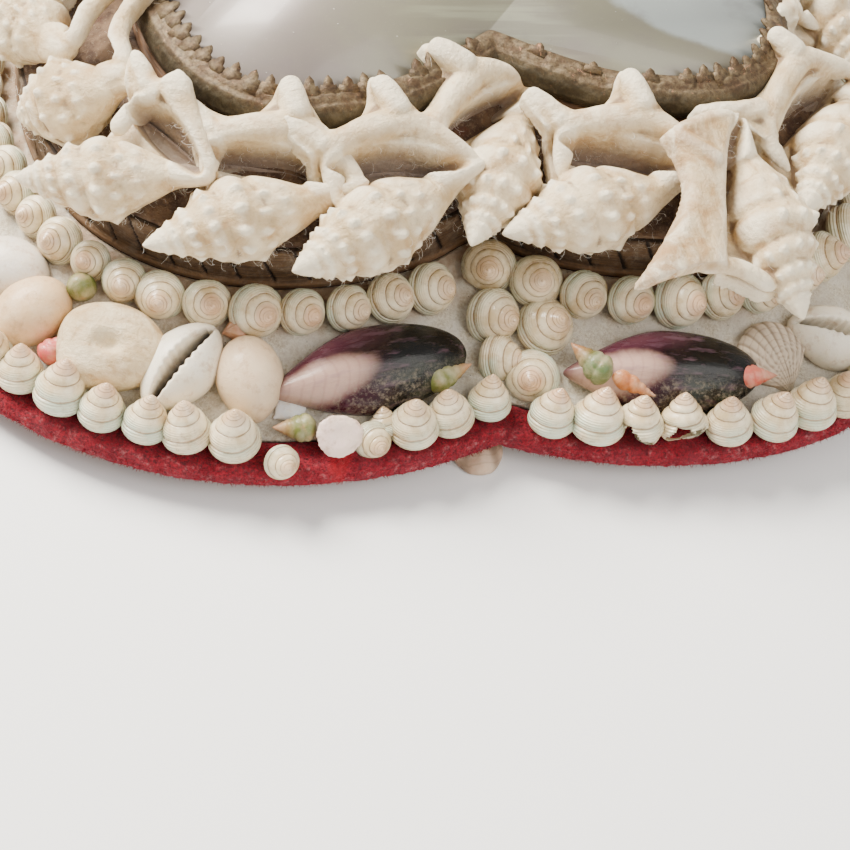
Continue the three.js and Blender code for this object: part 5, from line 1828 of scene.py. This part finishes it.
def make_slope_shells():
    """The larger shells on the sloped bed, those in front first."""
    cowrie = shared("cowrie", cowrie_material)
    bone = shared("bone_shell", bone_material)
    mussel = shared("mussel", mussel_material)
    scallop = shared("scallop", scallop_material)
    half = HeartPath(SLOPE_LINE).half

    tan = tone(220, 192, 158)

    def cowrie_back(name, color=tan):
        return dome_shell(name, cowrie, 14.8, 11.2, 7.4, tapered(0.22), color)

    def slit_cowrie(name):
        return dome_shell(name, cowrie, 17.6, 11.8, 6.6, slit_shape, tone(238, 230, 212), shaded_slit,
                          rows=70, around=150)

    def mussel_shell(name):
        return dome_shell(name, mussel, 35, 15, 6.6, tapered(0.6, 1.6, 0.12), rows=40, around=80)

    def fan(name):
        ribs = 40
        return dome_shell(name, scallop, FAN_LENGTH, 13.6, 4.2, ribbed(ribs, 0.05), tone(206, 188, 164),
                          rib_marks(ribs), rows=34, around=300)

    def snail(name):
        return dome_shell(name, bone, 18.6, 15.6, 8.6, dimpled, rows=40, around=90)

    white, tan_left, tan_front = tone(228, 218, 206), tone(222, 186, 142), tone(218, 190, 156)
    for template, slot_name, s, offset, turn, lift, node in (
        (cowrie_back("white_cowrie", white), "cowrie", -95, 9, 0.4, 0, "cowrie_white"),
        (cowrie_back("tan_cowrie_left", tan_left), "cowrie", -85.5, 12, 1.25, 0, "cowrie_tan_left"),
        (snail("moon_shell"), "bone_shell", -71, 11.4, 0.1, 0, "moon_snail"),
        (slit_cowrie("open_cowrie_left"), "cowrie", -57.2, 10.8, 1.12, 0.4, "slit_cowrie_left"),
        (cowrie_back("tan_cowrie_front", tan_front), "cowrie", -45.4, 11, 1.75, 0, "cowrie_tan_front"),
        (mussel_shell("mussel_left"), "mussel", -24.6, 10.6, 0.06, 0, "mussel_front_left"),
        (mussel_shell("mussel_right"), "mussel", 32, 12.2, 0.0, 0, "mussel_front_right"),
        (fan("fan_right"), "scallop", 54, 12, 1.7, 0, "scallop_right"),
        (slit_cowrie("open_cowrie_right"), "cowrie", 67, 12.6, -0.75, 0.4, "slit_cowrie_right"),
    ):
        set_slope_shell(template, slot_name, s, offset, turn, node, lift)

    kinds = {"mussel": (mussel_shell, "mussel", 0.08), "cowrie": (cowrie_back, "cowrie", 1.2),
             "scallop": (fan, "scallop", 1.2), "moon_snail": (snail, "bone_shell", 1.2)}
    for node, share, extra in (
        ("mussel_back_1", 0.41, 0), ("cowrie_back_1", 0.53, 0), ("mussel_back_2", 0.65, 0),
        ("scallop_back_2", 0.77, 0), ("mussel_back_3", 0.88, 0), ("moon_snail_back_3", 0.985, -1),
        ("mussel_back_4", -0.9, 0), ("cowrie_back_4", -0.785, 0), ("mussel_back_5", -0.68, 0),
        ("scallop_back_5", -0.58, 0), ("mussel_back_6", -0.485, 0),
    ):
        make, slot_name, turn = kinds[node[:node.index("_back")]]
        set_slope_shell(make(f"{node}_looks"), slot_name, share * half, SLOPE_LINE + extra, turn, node)


def make_small_shells():
    """Small coloured shells between the larger ones, and a few odd tops on the velvet."""
    cowrie = shared("cowrie", cowrie_material)
    green, leaf, orange = tone(100, 108, 40), tone(78, 102, 48), tone(182, 104, 44)
    red, pink = tone(206, 62, 50), tone(196, 74, 76)
    pieces = []

    def lay(template, s, offset, turn, lift):
        pieces.append(laid(template, slope_matrix(s, offset, turn, lift)))

    def coil(name, length, radius, color, tip_color, s, offset, turn, lift, bulge=0.16):
        lay(coiled_shell(name, cowrie, length, radius, color, tip_color, bulge), s, offset, turn, lift)

    lay(dome_shell("green_ball", cowrie, 5.0, 4.6, 4.2, tapered(0.05), green), -80.4, 4.6, 0.9, 1.2)
    coil("pink_long", 7.0, 2.3, pink, tone(216, 150, 140), -77.5, 15.6, 1.2, 3.0)
    coil("green_whelk", 7.6, 2.5, green, orange, -38.4, 19.8, 3.1, 2.6)
    coil("green_orange", 9.8, 2.5, green, orange, -11.6, 15.8, 0.1, 3.6)
    coil("leaf_green", 9.6, 2.9, leaf, orange, 18.6, 13.6, 2.5, 4.6)
    coil("orange_turret", 9.6, 1.9, orange, tone(176, 120, 88), 26.2, 17.3, -0.45, 5.3, bulge=0.22)
    coil("red_long", 8.4, 2.2, red, tone(188, 120, 96), 48.2, 16.2, -0.15, 4.2)
    tellin = dome_shell("white_tellin", cowrie, 6.4, 5.0, 1.2, ribbed(18, 0.02), tone(226, 226, 226))
    lay(tellin, -38.9, 15.4, 0.6, 0.5)
    barnacle = dome_shell("barnacle", cowrie, 5.2, 4.2, 3.0, ribbed(9, 0.08), tone(176, 110, 72))
    lay(barnacle, -48.4, 3.4, 0.4, 1.0)
    disc = dome_shell("pink_disc", cowrie, 7.8, 6.9, 1.3, broken_disc, tone(244, 214, 204), around=120)
    (x, y), along = HeartPath(22.6).place(-30.8)
    turn = Matrix.Rotation(along, 4, "Z") @ Matrix.Rotation(0.75, 4, "X")
    pieces.append(laid(disc, Matrix.Translation((x, y, VELVET_TOP + 3.6)) @ turn))
    finished(joined_objects("small_shells", pieces), "cowrie")
    spots = []
    for s, offset, lean, size, spin in (
        (-41.2, 26.0, 1.1, 0.66, 0.2), (-25.2, 22.4, 1.2, 0.8, 2.5), (-22.0, 22.8, -0.7, 0.72, 0.4),
    ):
        (x, y), along = HeartPath(offset - 1.4).place(s)
        spots.append(spot(x, y, VELVET_TOP + 0.6, leaning(along, lean, 0.3, spin), size))
    set_row("odd_tops", spots)


def lint_template(material):
    """A curled fibre a little over a millimetre long."""
    thread = []
    for k in range(5):
        t = k / 4
        thread.append((0.9 * math.sin(t * 2.2), 0.5 * math.cos(t * 2.6) - 0.5, 1.3 * t))
    ring = [(0.02, 0.0), (-0.01, 0.017), (-0.01, -0.017)]
    places = [(x + a, y + b, z) for x, y, z in thread for a, b in ring]
    faces = quads_between(len(thread), len(ring)) + [(2, 1, 0), (12, 13, 14)]
    return new_object("lint_template", places, faces, material)


def acrosss(names):
    """The faces of some shells that look down and outwards, where dust gathers, as one mesh."""
    places, faces = [], []
    for name in names:
        mesh = bpy.data.objects[name].data
        start = len(places)
        places.extend(tuple(v.co / MM) for v in mesh.vertices)
        for face in mesh.polygons:
            _, y, z = face.normal
            if -0.8 < z < 0.1 and y < 0.1:
                faces.append(tuple(start + v for v in face.vertices))
    return places, faces


def make_lint():
    """Dust fibres on the low sides of the front shells and round the lid's edge."""
    settings = bpy.context.scene.shell_box.pile
    material = shared("lint", lint_material)
    hair = lint_template(material)
    places, faces = acrosss([f"pelicans_foot_{i}" for i in range(1, 9)])
    path = HeartPath(-3.4)
    count, start = 500, len(places)
    line = np.array([path.point(s) for s in np.linspace(-path.half, path.half, count)])
    places += [(x, y, LID_TOP - 0.6) for x, y in line] + [(x, y, LID_TOP + 3.2) for x, y in line]
    faces += [(i, i + 1, i + 1 + count, i + count) for i in range(start, start + count - 1)]
    strip = new_object("dust_lint", places, faces, material)
    evaluated_plain(strip, shared("fibres", fibre_group), {
        "Fibre": hair, "Finish": material, "Density": settings.lint_density, "Lean": 1.4,
        "Size low": 0.5, "Size high": 1.3, "Seed": settings.seed + 2,
    })
    drop(hair)
    finished(strip, "plaster")


# Camera, light and floor, in millimetres in the box's frame

CAMERA_PLACE = (-81.53, -284.99, 248.15)
CAMERA_LENS = 76.24
CAMERA_YAW, CAMERA_PITCH, CAMERA_ROLL = 0.338, 0.863, 0.217


def make_stage():
    """The camera at the photograph's place, a pale floor and soft light."""
    scene = bpy.context.scene
    flat = math.cos(CAMERA_PITCH)
    forward = Vector((math.sin(CAMERA_YAW) * flat, math.cos(CAMERA_YAW) * flat, -math.sin(CAMERA_PITCH)))
    level = Vector((math.cos(CAMERA_YAW), -math.sin(CAMERA_YAW), 0))
    upright = level.cross(forward)
    right = level * math.cos(CAMERA_ROLL) + upright * math.sin(CAMERA_ROLL)
    up = upright * math.cos(CAMERA_ROLL) - level * math.sin(CAMERA_ROLL)
    lens = bpy.data.cameras.new("camera")
    lens.lens = CAMERA_LENS
    lens.sensor_width = 36
    lens.sensor_fit = "HORIZONTAL"
    lens.clip_start = 0.01
    camera = bpy.data.objects.new("camera", lens)
    turn = Matrix((right, up, -forward)).transposed().to_4x4()
    camera.matrix_world = Matrix.Translation(Vector(CAMERA_PLACE) * MM) @ turn
    scene.collection.objects.link(camera)
    scene.camera = camera

    far, paper = 3000, Shade("floor", roughness=0.9).finish((0.9, 0.9, 0.9, 1.0))
    corners = [(-far, -far, 0), (far, -far, 0), (far, far, 0), (-far, far, 0)]
    floor = new_object("floor", corners, [(0, 1, 2, 3)], paper)

    world = bpy.data.worlds.new("soft_room")
    scene.world = world
    world.use_nodes = True
    back = world.node_tree.nodes["Background"]
    back.inputs["Color"].default_value = (1.0, 0.98, 0.95, 1.0)
    back.inputs["Strength"].default_value = 0.68
    for name, place, size, power, color in (
        ("window", (-380, 300, 560), 380, 25.0, (1.0, 0.95, 0.86)),
        ("fill", (420, -520, 560), 600, 5.0, (1.0, 0.97, 0.93)),
    ):
        lamp = bpy.data.lights.new(name, "AREA")
        lamp.size = size * MM
        lamp.energy = power
        lamp.color = color
        made = bpy.data.objects.new(name, lamp)
        made.location = Vector(place) * MM
        made.rotation_euler = (-Vector(place)).to_track_quat("-Z", "Y").to_euler()
        scene.collection.objects.link(made)


# Operators

class PieceOperator:
    """What the operators have in common: each runs its own maker"""
    bl_options = {"REGISTER", "UNDO"}

    def execute(self, context):
        type(self).make()
        return {"FINISHED"}


def operator(idname, label, words, make):
    """An operator class that builds one group of pieces."""
    return type(
        "SHELLBOX_OT_" + idname,
        (PieceOperator, bpy.types.Operator),
        {"bl_idname": "shell_box." + idname, "bl_label": label, "__doc__": words, "make": staticmethod(make)},
    )


STEPS = [
    operator("base", "Base", "Builds the base board and the box wall", make_base),
    operator("bed", "Plaster Bed", "Builds the sloped plaster bed", make_bed),
    operator("velvet", "Velvet", "Builds the velvet edge", make_velvet),
    operator("pile", "Velvet Pile", "Scatters the velvet's pile", make_pile),
    operator("feet", "Feet", "Builds the shell feet", make_feet),
    operator("lid", "Lid", "Builds the rim, board, plaster and mirror block of the lid", make_lid),
    operator("mirror", "Mirror", "Builds the mirror glass", make_mirror),
    operator("bezel", "Bezel", "Builds the pressed metal bezel with its teeth", make_bezel),
    operator("inner_rows", "Inner Rows", "Sets the top shells against the box wall", make_inner_rows),
    operator("outer_rows", "Outer Rows", "Sets the top shells on the velvet", make_outer_rows),
    operator("pelicans", "Pelican's Foot Shells", "Sets the ring of shells on the lid", make_pelicans),
    operator("slope_shells", "Slope Shells", "Sets the larger shells on the slope", make_slope_shells),
    operator("small_shells", "Small Shells", "Sets the small coloured shells", make_small_shells),
    operator("lint", "Lint", "Scatters dust lint under the shells", make_lint),
    operator("stage", "Stage", "Builds the camera, lights and floor", make_stage),
]


class SHELLBOX_PT_panel(bpy.types.Panel):
    """Lists the steps that build the shell box"""
    bl_label = "Shell Box"
    bl_idname = "SHELLBOX_PT_panel"
    bl_space_type = "VIEW_3D"
    bl_region_type = "UI"
    bl_category = "Shell Box"

    def draw(self, context):
        settings = context.scene.shell_box
        for group in (settings.rows, settings.pile):
            for key in group.bl_rna.properties.keys():
                if key not in ("rna_type", "name"):
                    self.layout.prop(group, key)
        for step in STEPS:
            self.layout.operator(step.bl_idname)


CLASSES = [RowSettings, PileSettings, ShellBoxSettings] + STEPS + [SHELLBOX_PT_panel]


def register():
    """Makes the classes and the settings known."""
    for each in CLASSES:
        bpy.utils.register_class(each)
    bpy.types.Scene.shell_box = bpy.props.PointerProperty(type=ShellBoxSettings)


def unregister():
    """Takes the settings and the classes away again."""
    del bpy.types.Scene.shell_box
    for each in reversed(CLASSES):
        bpy.utils.unregister_class(each)


def main():
    """Runs every step and notes the sizes of the solids and of the looks."""
    register()
    for step in STEPS:
        group, name = step.bl_idname.split(".")
        getattr(getattr(bpy.ops, group), name)()
    bpy.context.view_layer.update()


if __name__ == "__main__":
    main()
